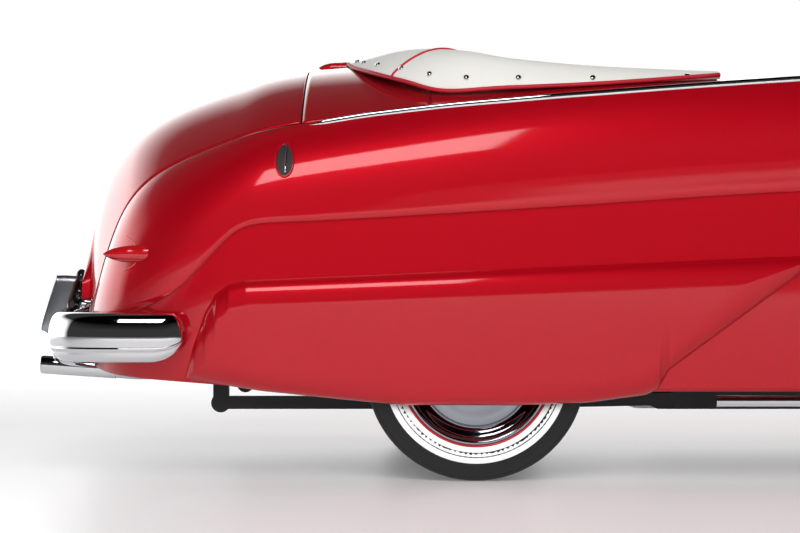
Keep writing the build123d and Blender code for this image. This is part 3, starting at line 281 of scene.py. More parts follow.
def section(x):
    """The cross-section's values at each x, as a dict of arrays."""
    return {name: np.interp(x, DENSE[:, 0], DENSE[:, k]) for k, name in enumerate(COLUMNS)}


def bulged_arc(start, end, bulge, share):
    """Arcs from start to end that stand out by bulge to the left, read at each share of the way, 0 to 1."""
    chord = end - start
    length = np.linalg.norm(chord, axis=-1, keepdims=True)
    along = chord / length
    out = np.stack([-along[..., 1], along[..., 0]], axis=-1)
    half = 2 * np.arctan2(2 * bulge[..., None], length)
    radius = length / (2 * np.sin(half))
    turn = (2 * share - 1) * half
    centre = (start + end) / 2 - out * radius * np.cos(half)
    return centre + radius * (np.sin(turn) * along + np.cos(turn) * out)


def corner_points(row):
    seam = np.stack([row["seam_y"], row["seam_z"]], axis=-1)
    crease = np.stack([row["crease_y"], row["crease_z"]], axis=-1)
    sill = np.stack([row["sill_y"], row["sill_z"]], axis=-1)
    return seam, crease, sill


def crown_points(x, share):
    """Points on the crown's arc: share -1 is the right seam, 0 the middle line and 1 the left seam."""
    row = section(x)
    rise = row["crown_z"] - row["seam_z"]
    radius = (rise ** 2 + row["seam_y"] ** 2) / (2 * rise)
    turn = share * np.arctan2(row["seam_y"], radius - rise)
    return np.stack([x, radius * np.sin(turn), row["crown_z"] - radius * (1 - np.cos(turn))], axis=-1)


def shoulder_points(x, share):
    """Left-side points from the seam, share 0, out and down to the crease, share 1."""
    row = section(x)
    seam, crease, _ = corner_points(row)
    arc = bulged_arc(seam, crease, row["shoulder"], share[..., None])
    return np.concatenate([x[..., None], arc], axis=-1)


def side_points(x, share):
    """Left-side points from the crease, share 0, down to the sill, share 1."""
    row = section(x)
    _, crease, sill = corner_points(row)
    arc = bulged_arc(crease, sill, row["side"], share[..., None])
    return np.concatenate([x[..., None], arc], axis=-1)


def side_y(x, z):
    """How far out the left side is at each x and z, read off a fine table of the side's arc."""
    shares = np.linspace(0, 1, 60)
    wide = side_points(np.repeat(x[:, None], 60, axis=1), np.repeat(shares[None], len(x), axis=0))
    return np.array([np.interp(-height, -column[:, 2], column[:, 1]) for height, column in zip(z, wide)])


def shoulder_y(x, z):
    """How far out the left shoulder is at each x and z."""
    shares = np.linspace(0, 1, 200)
    wide = shoulder_points(np.repeat(x[:, None], 200, axis=1), np.repeat(shares[None], len(x), axis=0))
    return np.array([np.interp(-height, -column[:, 2], column[:, 1]) for height, column in zip(z, wide)])


def both_sides(points):
    """The left-side points and their mirror image."""
    return {"left": points, "right": points * np.array([1, -1, 1])}


print("section at the rear axle:", {k: round(float(v), 3) for k, v in section(np.array(REAR_AXLE_X)).items()})

# %% [markdown]
# ## Quarter panels
#
# Above the crease the shoulder rolls out into a soft lip; below it the side starts a step further in, so
# the crease reads as a line with a shadow under it.

# %% Quarter panels
LIP_OUT = 0.004
LIP_REACH = 0.10
STEP_IN = 0.010
STEP_REACH = 0.35
LIP_FADE = 0.05
SEAM_SHARE = 0.009
along = np.concatenate([np.linspace(TAIL_X + 0.004, TAIL_X + 0.30, 70),
                        np.linspace(TAIL_X + 0.31, DOOR_REAR_X - PANEL_GAP / 2, 150)])
upper_share = 1 - np.linspace(1, 0, 60) ** 1.5
upper_share = np.concatenate([[SEAM_SHARE], upper_share[1:]])
lower_share = np.linspace(0, 1, 60) ** 1.5
x_upper, s_upper = np.meshgrid(along, upper_share, indexing="ij")
x_lower, s_lower = np.meshgrid(along, lower_share, indexing="ij")
upper = shoulder_points(x_upper, s_upper)
from_crease = 1 - s_upper
upper[..., 1] += (LIP_OUT * np.exp(-(from_crease / LIP_REACH) ** 2)
                  * np.sin(np.pi / 2 * np.minimum(1, from_crease / LIP_FADE)))
lower = side_points(x_lower, s_lower)
lower[..., 1] -= STEP_IN * np.exp(-(s_lower / STEP_REACH) ** 2)
for side, points in both_sides(np.concatenate([upper, lower], axis=1)).items():
    panel = grid_piece(f"quarter_{side}", points if side == "right" else points[:, ::-1])
    thicken(panel, SHEET)
    dress(panel, "body", candy, ("quarter_panels",) if side == "right" else ())
print("quarter panels:", points.shape)

# %% [markdown]
# ## Fender skirts
#
# A skirt stands proud of the side inside its outline and rolls down to it at its edges, like a bubble. Its
# height above the side is a quarter ellipse of the distance from its edge.

# %% Fender skirts
SKIRT_STAND = 0.044
SKIRT_ROLL = 0.075
SKIRT_REAR, SKIRT_FRONT = (-0.817, 0.288), (0.958, 0.628)
SKIRT_TOP = np.array([SKIRT_REAR, (-0.790, 0.380), (-0.755, 0.475), (-0.725, 0.525), (-0.690, 0.552),
                      (-0.640, 0.564), (0.900, 0.632), (0.944, 0.632), SKIRT_FRONT])
SKIRT_BOTTOM = np.array([SKIRT_REAR, (-0.597, 0.255), (-0.213, 0.217), (0.100, 0.216), (0.309, 0.224),
                         (0.470, 0.246), (0.505, 0.262), (0.535, 0.315), SKIRT_FRONT])
skirt_x = np.concatenate([np.linspace(SKIRT_REAR[0], -0.62, 60), np.linspace(-0.61, 0.45, 90),
                          np.linspace(0.455, SKIRT_FRONT[0], 120)])
top_z = np.interp(skirt_x, *SKIRT_TOP.T)
bottom_z = np.interp(skirt_x, *SKIRT_BOTTOM.T)
round_share = (1 - np.cos(np.linspace(0, np.pi, 90))) / 2
skirt_z = bottom_z[:, None] + (top_z - bottom_z)[:, None] * round_share
top_lean = np.cos(np.arctan(np.gradient(top_z, skirt_x)))
bottom_lean = np.cos(np.arctan(np.gradient(bottom_z, skirt_x)))
from_edge = np.minimum((top_z[:, None] - skirt_z) * top_lean[:, None],
                       (skirt_z - bottom_z[:, None]) * bottom_lean[:, None])
from_edge = np.clip(from_edge / SKIRT_ROLL, 0, 1)
stand = SKIRT_STAND * np.sqrt(1 - (1 - from_edge) ** 2)
base_y = side_y(skirt_x + REAR_AXLE_X, skirt_z) - STEP_IN
skirt = np.stack([np.broadcast_to((skirt_x + REAR_AXLE_X)[:, None], skirt_z.shape), base_y + stand, skirt_z],
                 axis=-1)
for side, points in both_sides(skirt).items():
    panel = grid_piece(f"skirt_{side}", points[:, ::-1] if side == "right" else points)
    thicken(panel, SHEET)
    dress(panel, "body", candy, ("fender_skirts",) if side == "right" else ())
print("skirts stand", SKIRT_STAND, "m proud")

# %% [markdown]
# ## Deck lid and rear deck panel
#
# Both are stretches of the crown's arc between the two seams. The lid rolls down at the tail into an apron.
# The rear deck panel is cut back for the cockpit, and leaves an arm on each side of it.

# %% Deck lid and rear deck panel
LID_EDGE = 0.993
APRON_LOW_Z = 0.560
APRON_BULGE = 0.026
lid_x = np.concatenate([np.linspace(TAIL_X + 0.001, TAIL_X + 0.2, 60),
                        np.linspace(TAIL_X + 0.21, DECK_FRONT_X - PANEL_GAP / 2, 60)])
lid_share = np.linspace(-LID_EDGE, LID_EDGE, 121)
lid_crown = crown_points(*np.meshgrid(lid_x, lid_share, indexing="ij"))
apron_drop = np.linspace(1, 0, 14)[1:, None]
rim_row = lid_crown[0]
apron_low = np.minimum(rim_row[:, 2], APRON_LOW_Z)
apron = np.stack([np.full((13, rim_row.shape[0]), TAIL_X - 0.001)
                  - APRON_BULGE * np.sin(np.pi / 2 * (1 - apron_drop)),
                  np.broadcast_to(rim_row[:, 1], (13, rim_row.shape[0])),
                  apron_low + (rim_row[:, 2] - apron_low) * apron_drop], axis=-1)
lid = grid_piece("deck_lid_skin", np.concatenate([apron[::-1], lid_crown]))
dress(thicken(lid, -SHEET), "deck_lid", candy, ("deck_lid",))

COCKPIT_REAR_X = REAR_AXLE_X - 0.130
COCKPIT_HALF_WIDTH = 0.660
back_x = np.linspace(DECK_FRONT_X + PANEL_GAP / 2, COCKPIT_REAR_X, 30)
back_points = crown_points(*np.meshgrid(back_x, np.linspace(-1, 1, 121), indexing="ij"))
back = grid_piece("rear_deck_back", back_points)
dress(thicken(back, -SHEET), "body", candy, ("rear_deck_panel",))
arm_x = np.linspace(COCKPIT_REAR_X, DOOR_REAR_X - PANEL_GAP / 2, 90)
arm_row = section(arm_x)
inner_share = COCKPIT_HALF_WIDTH / arm_row["seam_y"]
arm_share = inner_share[:, None] + (1 - inner_share)[:, None] * np.linspace(0, 1, 20)
arm = crown_points(np.broadcast_to(arm_x[:, None], arm_share.shape), arm_share)
for side, points in both_sides(arm).items():
    panel = grid_piece(f"rear_deck_arm_{side}", points[:, ::-1] if side == "right" else points)
    dress(thicken(panel, -SHEET), "body", candy)
print("deck lid", lid_crown.shape, "and rear deck panel drawn")

# %% [markdown]
# ## Gutter
#
# A real lid closes on a rubber strip in a gutter, but its seams look black from the shade in the gap. A matte
# black tube without gloss just under the skin paints that shade.

# %% Gutter under the lid's seams
GUTTER_DEPTH = 0.011
GUTTER_RADIUS = 0.007
gutter_x = np.linspace(TAIL_X + 0.03, DECK_FRONT_X, 120)
gutter = shoulder_points(gutter_x, np.zeros(120)) - np.array([0, 0.6, 1]) * GUTTER_DEPTH
for side, points in both_sides(gutter).items():
    trough = grid_piece(f"lid_gutter_{side}", tube_points(points, GUTTER_RADIUS, 10), closed_columns=True,
                        cap_rows=True)
    dress(trough, "body", painted_seam_shade)
gutter = crown_points(np.full(121, DECK_FRONT_X), np.linspace(-1, 1, 121)) - np.array([0, 0, GUTTER_DEPTH])
trough = grid_piece("lid_gutter_front", tube_points(gutter, GUTTER_RADIUS, 10), closed_columns=True,
                    cap_rows=True)
dress(trough, "body", painted_seam_shade)
print("gutter", GUTTER_DEPTH, "m under the skin")

# %% [markdown]
# ## Wheels
#
# Each wheel is a profile spun about its axle: rim lip, trim ring and a stepped cap. The cap's chrome is
# darkened:
# painted shade and painted reflection of the dark room. The whitewall is a thin ring on the tyre's side, with
# a thin red line where it meets the rim.

# %% Wheels and whitewalls
CAP_PROFILE = [(0.207, 0.079), (0.204, 0.083), (0.198, 0.082), (0.190, 0.072), (0.178, 0.066), (0.164, 0.064),
               (0.160, 0.058), (0.157, 0.064), (0.150, 0.070), (0.135, 0.074), (0.128, 0.072), (0.122, 0.078),
               (0.100, 0.086), (0.070, 0.090), (0.066, 0.088), (0.060, 0.091), (0.030, 0.0915),
               (0.0005, 0.092)]
BARREL_PROFILE = [(0.207, 0.079), (0.190, 0.070), (0.186, 0.0), (0.190, -0.070), (0.206, -0.079),
                  (0.182, -0.072), (0.150, -0.020), (0.090, -0.044), (0.030, -0.044), (0.0275, 0.02),
                  (0.0005, 0.03)]
WALL_PROFILE = [(0.2135, 0.0815), (0.224, 0.0875), (0.236, 0.0918), (0.248, 0.0936), (0.256, 0.0940),
                (0.258, 0.0928)]
LINE_PROFILE = [(0.2075, 0.0795), (0.209, 0.0822), (0.2125, 0.0825), (0.2135, 0.0805)]
for corner, hub in HUBS.items():
    outward = 1 if hub[1] > 0 else -1
    body = f"wheel_{corner}"
    cap = grid_piece(f"cap_{corner}", spun(CAP_PROFILE, hub, outward), closed_columns=True)
    dress(cap, body, shade_darkened_chrome, (f"wheel_{corner}",))
    barrel = grid_piece(f"barrel_{corner}", spun(BARREL_PROFILE, hub, outward), closed_columns=True)
    dress(barrel, body, black_steel)
    wall = grid_piece(f"whitewall_{corner}", spun(WALL_PROFILE, hub, outward), closed_columns=True)
    dress(wall, body, whitewall)
    line = grid_piece(f"red_line_{corner}", spun(LINE_PROFILE, hub, outward), closed_columns=True)
    dress(line, body, red_line)
print("four wheels spun")

# %% [markdown]
# ## The cover over the folded top
#
# A soft horseshoe: across it the height runs from the snapped outer edge over a full crest to the inner
# edge, and along it the crest falls from the hump behind the seat to the arms' tips.

# %% Boot cover
COVER_OUTER = [(0.690, 0.775), (0.345, 0.798), (0.080, 0.800), (-0.090, 0.770), (-0.205, 0.690),
               (-0.300, 0.540), (-0.355, 0.300), (-0.375, 0.0)]
COVER_INNER = [(0.690, 0.690), (0.345, 0.660), (0.140, 0.640), (0.060, 0.590), (0.000, 0.480),
               (-0.020, 0.350), (-0.030, 0.180), (-0.030, 0.0)]
EDGE_Z = [1.142, 1.116, 1.104, 1.098, 1.132, 1.168, 1.203, 1.236]
INNER_DROP = 0.075
COVER_THICK = 0.012
CREST_Z = [1.156, 1.172, 1.194, 1.218, 1.234, 1.246, 1.257, 1.262]


def whole_horseshoe(half):
    """A curve along the left arm to the middle and on along the right arm, from the left half's knots."""
    half = np.array(half)
    return smooth_path(np.vstack([half, (half * np.array([1, -1]))[-2::-1]]), 161)


outer = whole_horseshoe(COVER_OUTER) + np.array([REAR_AXLE_X, 0])
inner = whole_horseshoe(COVER_INNER) + np.array([REAR_AXLE_X, 0])
crest = smooth_path([(z,) for z in CREST_Z + CREST_Z[-2::-1]], 161)[:, 0]
across = np.linspace(0, 1, 41)
plan = outer[:, None] + (inner - outer)[:, None] * across[None, :, None]
outer_z = smooth_path([(z,) for z in EDGE_Z + EDGE_Z[-2::-1]], 161)[:, 0]
inner_z = crest - INNER_DROP
dome = np.sin(np.pi * across * 0.92) ** 0.75
base = outer_z[:, None] + (inner_z - outer_z)[:, None] * across
cover_z = base + (crest[:, None] - base) * dome
cover_points = np.concatenate([plan, cover_z[..., None]], axis=-1)
cover = grid_piece("boot_cover_cloth", cover_points)
thicken(cover, COVER_THICK, offset=1)
dress(cover, "body", cover_cloth, ("boot_cover",))
print("cover crest at", round(float(crest.max()), 3))

# %% [markdown]
# ## Welt, seams and snaps of the cover
#
# A welt runs along the snapped edge, a piped seam climbs each side at a slant, and a row of round snaps
# holds the edge down. They follow rows and columns of the cover's own grid, so they lie on it.

# %% Welt, seams and snaps
edge_path = np.concatenate([outer, (outer_z + 0.001)[:, None]], axis=-1)
welt = grid_piece("cover_welt", tube_points(edge_path, 0.006, 10), closed_columns=True, cap_rows=True)
dress(welt, "body", piping)

SEAM_FOOT = 49.5
SEAM_SWEEP = 11
seam_row = SEAM_FOOT - SEAM_SWEEP * across
for name, rows in (("left", seam_row), ("right", 160 - seam_row)):
    below = rows.astype(int)
    share = (rows - below)[:, None]
    column = np.arange(41)
    seam_path = cover_points[below, column] * (1 - share) + cover_points[below + 1, column] * share
    seam = grid_piece(f"cover_seam_{name}", tube_points(seam_path + np.array([0, 0, 0.001]), 0.004, 10),
                      closed_columns=True, cap_rows=True)
    dress(seam, "body", piping)

SNAP_ROWS = list(range(4, 161, 9))
SNAP_COLUMN = 3
SNAP_PROFILE = np.array([(0.0085, -0.001), (0.0085, 0.003), (0.007, 0.0055), (0.0003, 0.0065)])
ahead = np.gradient(cover_points, axis=0)
rise = np.gradient(cover_points, axis=1)
normal = np.cross(ahead, rise)
normal /= np.linalg.norm(normal, axis=-1, keepdims=True)
turn = np.linspace(0, 2 * np.pi, 20, endpoint=False)
for row in SNAP_ROWS:
    out = normal[row, SNAP_COLUMN] * np.sign(normal[row, SNAP_COLUMN, 2])
    flat_x = np.cross(out, (0, 0, 1))
    flat_x /= np.linalg.norm(flat_x)
    flat_y = np.cross(out, flat_x)
    ring = np.cos(turn)[:, None] * flat_x + np.sin(turn)[:, None] * flat_y
    points = (cover_points[row, SNAP_COLUMN] + SNAP_PROFILE[:, 0, None, None] * ring
              + SNAP_PROFILE[:, 1, None, None] * out)
    dress(grid_piece(f"snap_{row}", points, closed_columns=True), "body", chrome)
print(len(SNAP_ROWS), "snaps on the cover")

# %% [markdown]
# ## Belt moulding and door handles
#
# A chrome strip along the quarter's upper edge, pointed at its rear end, goes on over each door as a strip
# of its own that swings with it. A pull handle stands on each door. All are flattened tubes along paths on
# the shoulder.

# %% Belt moulding and door handles
BELT = [(-0.466, 0.999), (-0.325, 1.022), (-0.213, 1.036), (-0.075, 1.051), (0.065, 1.063), (0.235, 1.077),
        (0.345, 1.085), (0.625, 1.106), (0.895, 1.124), (0.970, 1.128)]
DOOR_BELT = [(0.984, 1.129), (1.300, 1.137), (1.700, 1.139), (2.100, 1.124)]
BELT_HALF = 0.0085
BELT_PROUD = 0.002
DOOR_BELT_DROP = 0.008
BELT_POINT = 0.045
belt = smooth_path(BELT, 120)
belt_x = belt[:, 0] + REAR_AXLE_X
taper = np.clip((belt_x - belt_x[0]) / BELT_POINT, 0.03, 1)
belt_path = np.stack([belt_x, shoulder_y(belt_x, belt[:, 1]) + BELT_PROUD, belt[:, 1]], axis=-1)
for side, path in both_sides(belt_path).items():
    strip = grid_piece(f"belt_{side}", tube_points(path, BELT_HALF * taper, 16, deep=0.5),
                       closed_columns=True, cap_rows=True)
    dress(strip, "body", chrome)
door_belt = smooth_path(DOOR_BELT, 80)
belt_x = door_belt[:, 0] + REAR_AXLE_X
belt_z = door_belt[:, 1] - DOOR_BELT_DROP
door_belt = np.stack([belt_x, shoulder_y(belt_x, belt_z) + BELT_PROUD, belt_z], axis=-1)
HANDLE = [(0.000, 0.000), (0.012, 0.026), (0.060, 0.032), (0.120, 0.032), (0.160, 0.026), (0.172, 0.000)]
HANDLE_START = (DOOR_REAR_X + 0.055, 0.985)
handle = smooth_path(HANDLE, 40)
handle_x = HANDLE_START[0] + handle[:, 0]
handle_z = np.full(40, HANDLE_START[1])
handle = np.stack([handle_x, shoulder_y(handle_x, handle_z) + handle[:, 1], handle_z], axis=-1)
for side in ("left", "right"):
    strip = grid_piece(f"door_belt_{side}", tube_points(both_sides(door_belt)[side], BELT_HALF, 16, deep=0.5),
                       closed_columns=True, cap_rows=True)
    dress(strip, f"door_{side}", chrome)
    pull = grid_piece(f"door_handle_{side}", tube_points(both_sides(handle)[side], 0.011, 16, deep=0.7),
                      closed_columns=True, cap_rows=True)
    dress(pull, f"door_{side}", chrome)
print("belt mouldings laid")

# %% [markdown]
# ## Rear bumper
#
# A chrome blade swept round the tail. Its section bulges, turns in under a rib and ends in a small lower
# lip; towards each end the section shrinks on an ellipse, so the blade closes in a round tip.

# %% Rear bumper
BLADE_PLAN = [(0.319, 0.900), (0.220, 0.905), (0.110, 0.898), (0.030, 0.862), (-0.022, 0.785),
              (-0.046, 0.640), (-0.066, 0.400), (-0.080, 0.0)]
BLADE_SECTION = smooth_path([(-0.028, 0.075), (0.006, 0.081), (0.027, 0.066), (0.038, 0.030), (0.040, -0.006),
                             (0.036, -0.030), (0.038, -0.037), (0.030, -0.046), (0.027, -0.060),
                             (0.012, -0.076), (-0.022, -0.079)], 60)
BLADE_Z = 0.404
BLADE_RISE = 0.011
BLADE_SCALE = 0.84
TIP_UPPER = 0.030
BLADE_TIP = 0.090
plan_curve = whole_horseshoe(BLADE_PLAN) + np.array([TAIL_X, 0])
run = np.concatenate([[0], np.cumsum(np.linalg.norm(np.diff(plan_curve, axis=0), axis=1))])
tip_run = BLADE_TIP * (1 - np.cos(np.linspace(0, np.pi / 2, 16)))[:-1]
long_run = np.linspace(BLADE_TIP, run[-1] - BLADE_TIP, 150)
blade_run = np.concatenate([tip_run, long_run, run[-1] - tip_run[::-1]])
blade_plan = np.stack([np.interp(blade_run, run, plan_curve[:, k]) for k in (0, 1)], axis=-1)
tangent = np.gradient(blade_plan, axis=0)
tangent /= np.linalg.norm(tangent, axis=1, keepdims=True)
outside = np.stack([tangent[:, 1], -tangent[:, 0]], axis=-1)
outside *= np.sign(np.sum(outside * (blade_plan - np.array([TAIL_X + 0.6, 0])), axis=1))[:, None]
from_tip = np.minimum(blade_run, run[-1] - blade_run)


def rounded_tip(reach):
    """The share of its height that the blade keeps at each place: an ellipse over reach at its tips."""
    return np.sqrt(np.clip(1 - (1 - np.clip(from_tip / reach, 0, 1)) ** 2, 0.0004, 1))[:, None]


shrink = np.where(BLADE_SECTION[:, 1] > 0, rounded_tip(TIP_UPPER), rounded_tip(BLADE_TIP))
blade_out = BLADE_SECTION[:, 0] * (0.4 + 0.6 * rounded_tip(BLADE_TIP))
blade_xy = blade_plan[:, None] + outside[:, None] * blade_out[..., None]
blade_z = (BLADE_Z + BLADE_RISE * np.clip(1 - np.abs(blade_plan[:, 1]) / 0.8, 0, 1)[:, None]
           + BLADE_SCALE * BLADE_SECTION[:, 1] * shrink)
blade = grid_piece("rear_blade", np.concatenate([blade_xy, blade_z[..., None]], axis=-1))
thicken(blade, 0.004, offset=0)
dress(blade, "body", chrome, ("rear_bumper",))

print("bumper blade", round(float(run[-1]), 2), "m long")

# %% [markdown]
# ## Exhaust tips
#
# A chromed sleeve over each pipe's end. The tube turns in at its mouth and runs back inside, so that it
# looks hollow.

# %% Exhaust tips
TIP_START = np.array([TAIL_X + 0.090, 0.530, 0.3012])
TIP_END = np.array([TAIL_X - 0.1275, 0.530, 0.3160])
TIP_RADIUS = 0.027
TIP_SHARES = np.array([0, 0.3, 0.6, 0.97, 1.0, 1.0, 0.8, 0.4])
TIP_INSETS = np.array([0, 0, 0, 0, 0.001, 0.003, 0.004, 0.004])
tip_path = TIP_START + (TIP_END - TIP_START) * TIP_SHARES[:, None]
tip_radius = TIP_RADIUS - TIP_INSETS
turn = np.linspace(0, 2 * np.pi, 48, endpoint=False)
tip_ring = np.stack([np.zeros(48), np.cos(turn), np.sin(turn)], axis=-1)
for side, points in both_sides(tip_path[:, None] + tip_radius[:, None, None] * tip_ring).items():
    dress(grid_piece(f"exhaust_tip_{side}", points, closed_columns=True), "body", chrome)

print("two exhaust tips,", round(float(np.linalg.norm(TIP_END - TIP_START)), 3), "m long")

# %% [markdown]
# ## Plate housing
#
# A slanted steel box with rounded corners: its side outline is carried across the car and shrinks at both
# ends. Two small hooded lamps and an arm stand on each side of it.

# %% Plate housing
PLATE_HALF_WIDTH = 0.160
PLATE_BOX = np.array([(-0.068, 0.572), (-0.130, 0.574), (-0.142, 0.560), (-0.184, 0.425), (-0.176, 0.402),
                      (-0.130, 0.402)])
box_half = np.array([-1, -0.985, -0.94, 0.94, 0.985, 1]) * PLATE_HALF_WIDTH
inset = np.array([0.75, 0.97, 1, 1, 0.97, 0.75])
outline = smooth_path(np.vstack([PLATE_BOX, PLATE_BOX[:1]]), 73)[:-1]
core = outline.mean(axis=0)
box_outline = core + (outline - core) * inset[:, None, None]
box_points = np.stack([TAIL_X + box_outline[..., 0], np.broadcast_to(box_half[:, None], (6, 72)),
                       box_outline[..., 1]], axis=-1)
dress(grid_piece("plate_box", box_points, closed_columns=True, cap_rows=True), "body", steel)

LAMP_ARM_Y = 0.115
LAMP_HALF_WIDE = 0.030
PLATE_LAMPS = {"upper": (-0.066, 0.568, 0.020, 0.027), "lower": (-0.072, 0.516, 0.026, 0.031)}
turn = np.linspace(0, 2 * np.pi, 32, endpoint=False)
tilt = np.linspace(-np.pi / 2 + 0.02, np.pi / 2 - 0.02, 20)
for name, (x, z, half_long, half_high) in PLATE_LAMPS.items():
    dome_points = np.stack([TAIL_X + x + half_long * np.outer(np.cos(tilt), np.cos(turn)),
                            LAMP_ARM_Y + LAMP_HALF_WIDE * np.outer(np.cos(tilt), np.sin(turn)),
                            np.broadcast_to((z + half_high * np.sin(tilt))[:, None], (20, 32))], axis=-1)
    for side, points in both_sides(dome_points).items():
        dress(grid_piece(f"plate_lamp_{name}_{side}", points, closed_columns=True), "body", smoked)
ARM = [(0.004, 0.505), (-0.030, 0.490), (-0.060, 0.492), (-0.090, 0.500)]
arm_curve = smooth_path(ARM, 24)
arm_path = np.stack([TAIL_X + arm_curve[:, 0], np.full(24, LAMP_ARM_Y), arm_curve[:, 1]], axis=-1)
for side, points in both_sides(arm_path).items():
    arm = grid_piece(f"plate_arm_{side}", tube_points(points, 0.012, 16), closed_columns=True, cap_rows=True)
    dress(arm, "body", chrome)
print("plate housing", 2 * PLATE_HALF_WIDTH, "m wide, with", 2 * len(PLATE_LAMPS), "lamps")

# %% [markdown]
# ## Lamps
#
# The tail lamps are red bullets on the fenders; one more lies on the middle line behind the cover. A bullet
# is a profile spun about its own axis. A thin painted line curves round each tail lamp.

# %% Lamps
BULLET = np.array([(0.0, 0.0003), (0.004, 0.004), (0.012, 0.009), (0.028, 0.016), (0.050, 0.0215),
                   (0.075, 0.024), (0.105, 0.0245), (0.112, 0.026), (0.130, 0.026)])
LAMP_TIP_X, LAMP_Z, LAMP_LENGTH = TAIL_X + 0.090, 0.637, 0.102
lamp_y = float(shoulder_y(np.array([LAMP_TIP_X + LAMP_LENGTH]), np.array([LAMP_Z]))[0]) - 0.006
LAMPS = {"tail_lamp_right": (LAMP_TIP_X, -lamp_y, LAMP_Z, 1.0),
         "tail_lamp_left": (LAMP_TIP_X, lamp_y, LAMP_Z, 1.0),
         "stop_lamp": (DECK_FRONT_X + 0.021, 0.0, 1.228, 0.70)}
turn = np.linspace(0, 2 * np.pi, 40, endpoint=False)
for name, (tip_x, y, z, scale) in LAMPS.items():
    ring = np.stack([np.zeros(40), np.cos(turn), np.sin(turn)], axis=-1)
    spine = np.array([tip_x, y, z]) + BULLET[:, :1] * scale * np.array([1, 0, 0])
    points = spine[:, None] + scale * BULLET[:, 1][:, None, None] * ring
    lamp = grid_piece(name, points, closed_columns=True)
    dress(lamp, "body", lens_red, ("tail_lamps",) if name == "stop_lamp" else ())

STRIPE = [(-0.990, 0.688), (-0.962, 0.672), (-0.946, 0.647), (-0.948, 0.624), (-0.962, 0.603),
          (-0.988, 0.592)]
STRIPE_PROUD = 0.0006
STRIPE_RADIUS = 0.0016
stripe_curve = smooth_path(STRIPE, 60)
stripe_x = stripe_curve[:, 0] + REAR_AXLE_X
stripe_y = shoulder_y(stripe_x, stripe_curve[:, 1]) + STRIPE_PROUD
stripe_path = np.stack([stripe_x, stripe_y, stripe_curve[:, 1]], axis=-1)
for side, points in both_sides(stripe_path).items():
    line = grid_piece(f"lamp_stripe_{side}", tube_points(points, STRIPE_RADIUS, 8), closed_columns=True,
                      cap_rows=True)
    dress(line, "body", stripe)
print("lamps:", ", ".join(LAMPS))

# %% [markdown]
# ## Aerial
#
# The aerial stands in an upright oval dish on the right fender. The dish is a disc of rings laid on the
# shoulder.

# %% Aerial
AERIAL_X, AERIAL_Z = REAR_AXLE_X - 0.533, 0.897
DISH_HALF = (0.025, 0.046)
MAST_PROUD = 0.005
MAST_LEAN = 0.05
share = np.linspace(0.02, 1, 12)
turn = np.linspace(0, 2 * np.pi, 48, endpoint=False)
dish_x = AERIAL_X + DISH_HALF[0] * np.outer(share, np.cos(turn))
dish_z = AERIAL_Z + DISH_HALF[1] * np.outer(share, np.sin(turn))
dish_y = -shoulder_y(dish_x.ravel(), dish_z.ravel()).reshape(dish_x.shape) - 0.0012
dish = grid_piece("aerial_dish", np.stack([dish_x, dish_y, dish_z], axis=-1), closed_columns=True)
dress(dish, "body", black_steel)
rim_path = np.stack([dish_x[-1], dish_y[-1] - 0.001, dish_z[-1]], axis=-1)
rim_path = np.vstack([rim_path, rim_path[:2]])
rim = grid_piece("aerial_rim", tube_points(rim_path + np.array([0, 0, 1e-6]), 0.003, 10), closed_columns=True)
dress(rim, "body", candy)
mast_z = np.linspace(AERIAL_Z - 0.035, AERIAL_Z + 0.050, 10)
mast_y = -shoulder_y(np.full(10, AERIAL_X), mast_z) - MAST_PROUD
mast_path = np.stack([AERIAL_X + 0.004 + MAST_LEAN * (mast_z - AERIAL_Z), mast_y, mast_z], axis=-1)
mast = grid_piece("aerial_mast", tube_points(mast_path, 0.0028, 10), closed_columns=True, cap_rows=True)
dress(mast, "body", chrome)
print("aerial at", round(float(AERIAL_X), 3), AERIAL_Z)

# %% [markdown]
# ## Bench seats
#
# Each cushion is its side outline, rounded, carried across the car. It narrows at both ends, and sewn
# channels every few centimetres pull its skin in between full rolls.

# %% Bench seats
FRONT_BACK_X = DOOR_FRONT_X - 1.010
REAR_BACK_X = REAR_AXLE_X + 0.240
FRONT_HALF, REAR_HALF = 0.660, 0.550
# name: half width, place of the foot of the back, side outline as (x from that place, z)
BENCHES = {
    "front_seat_cushion": (FRONT_HALF, FRONT_BACK_X, [(0.005, 0.405), (0.480, 0.405), (0.485, 0.545),
                                                      (0.400, 0.560), (0.005, 0.522)]),
    "front_seat_back": (FRONT_HALF, FRONT_BACK_X, [(-0.012, 0.420), (-0.008, 0.560), (-0.130, 0.995),
                                                   (-0.190, 1.006), (-0.240, 0.990), (-0.140, 0.420)]),
    "rear_seat_cushion": (REAR_HALF, REAR_BACK_X, [(0.005, 0.435), (0.325, 0.435), (0.360, 0.590),
                                                   (0.280, 0.598), (0.005, 0.560)]),
    "rear_seat_back": (REAR_HALF, REAR_BACK_X, [(-0.012, 0.440), (-0.008, 0.600), (-0.150, 1.056),
                                                (-0.210, 1.066), (-0.262, 1.050), (-0.125, 0.520)]),
}
CHANNEL_PITCH = 0.075
CHANNEL_DEPTH = 0.012
END_ROLL = 0.050
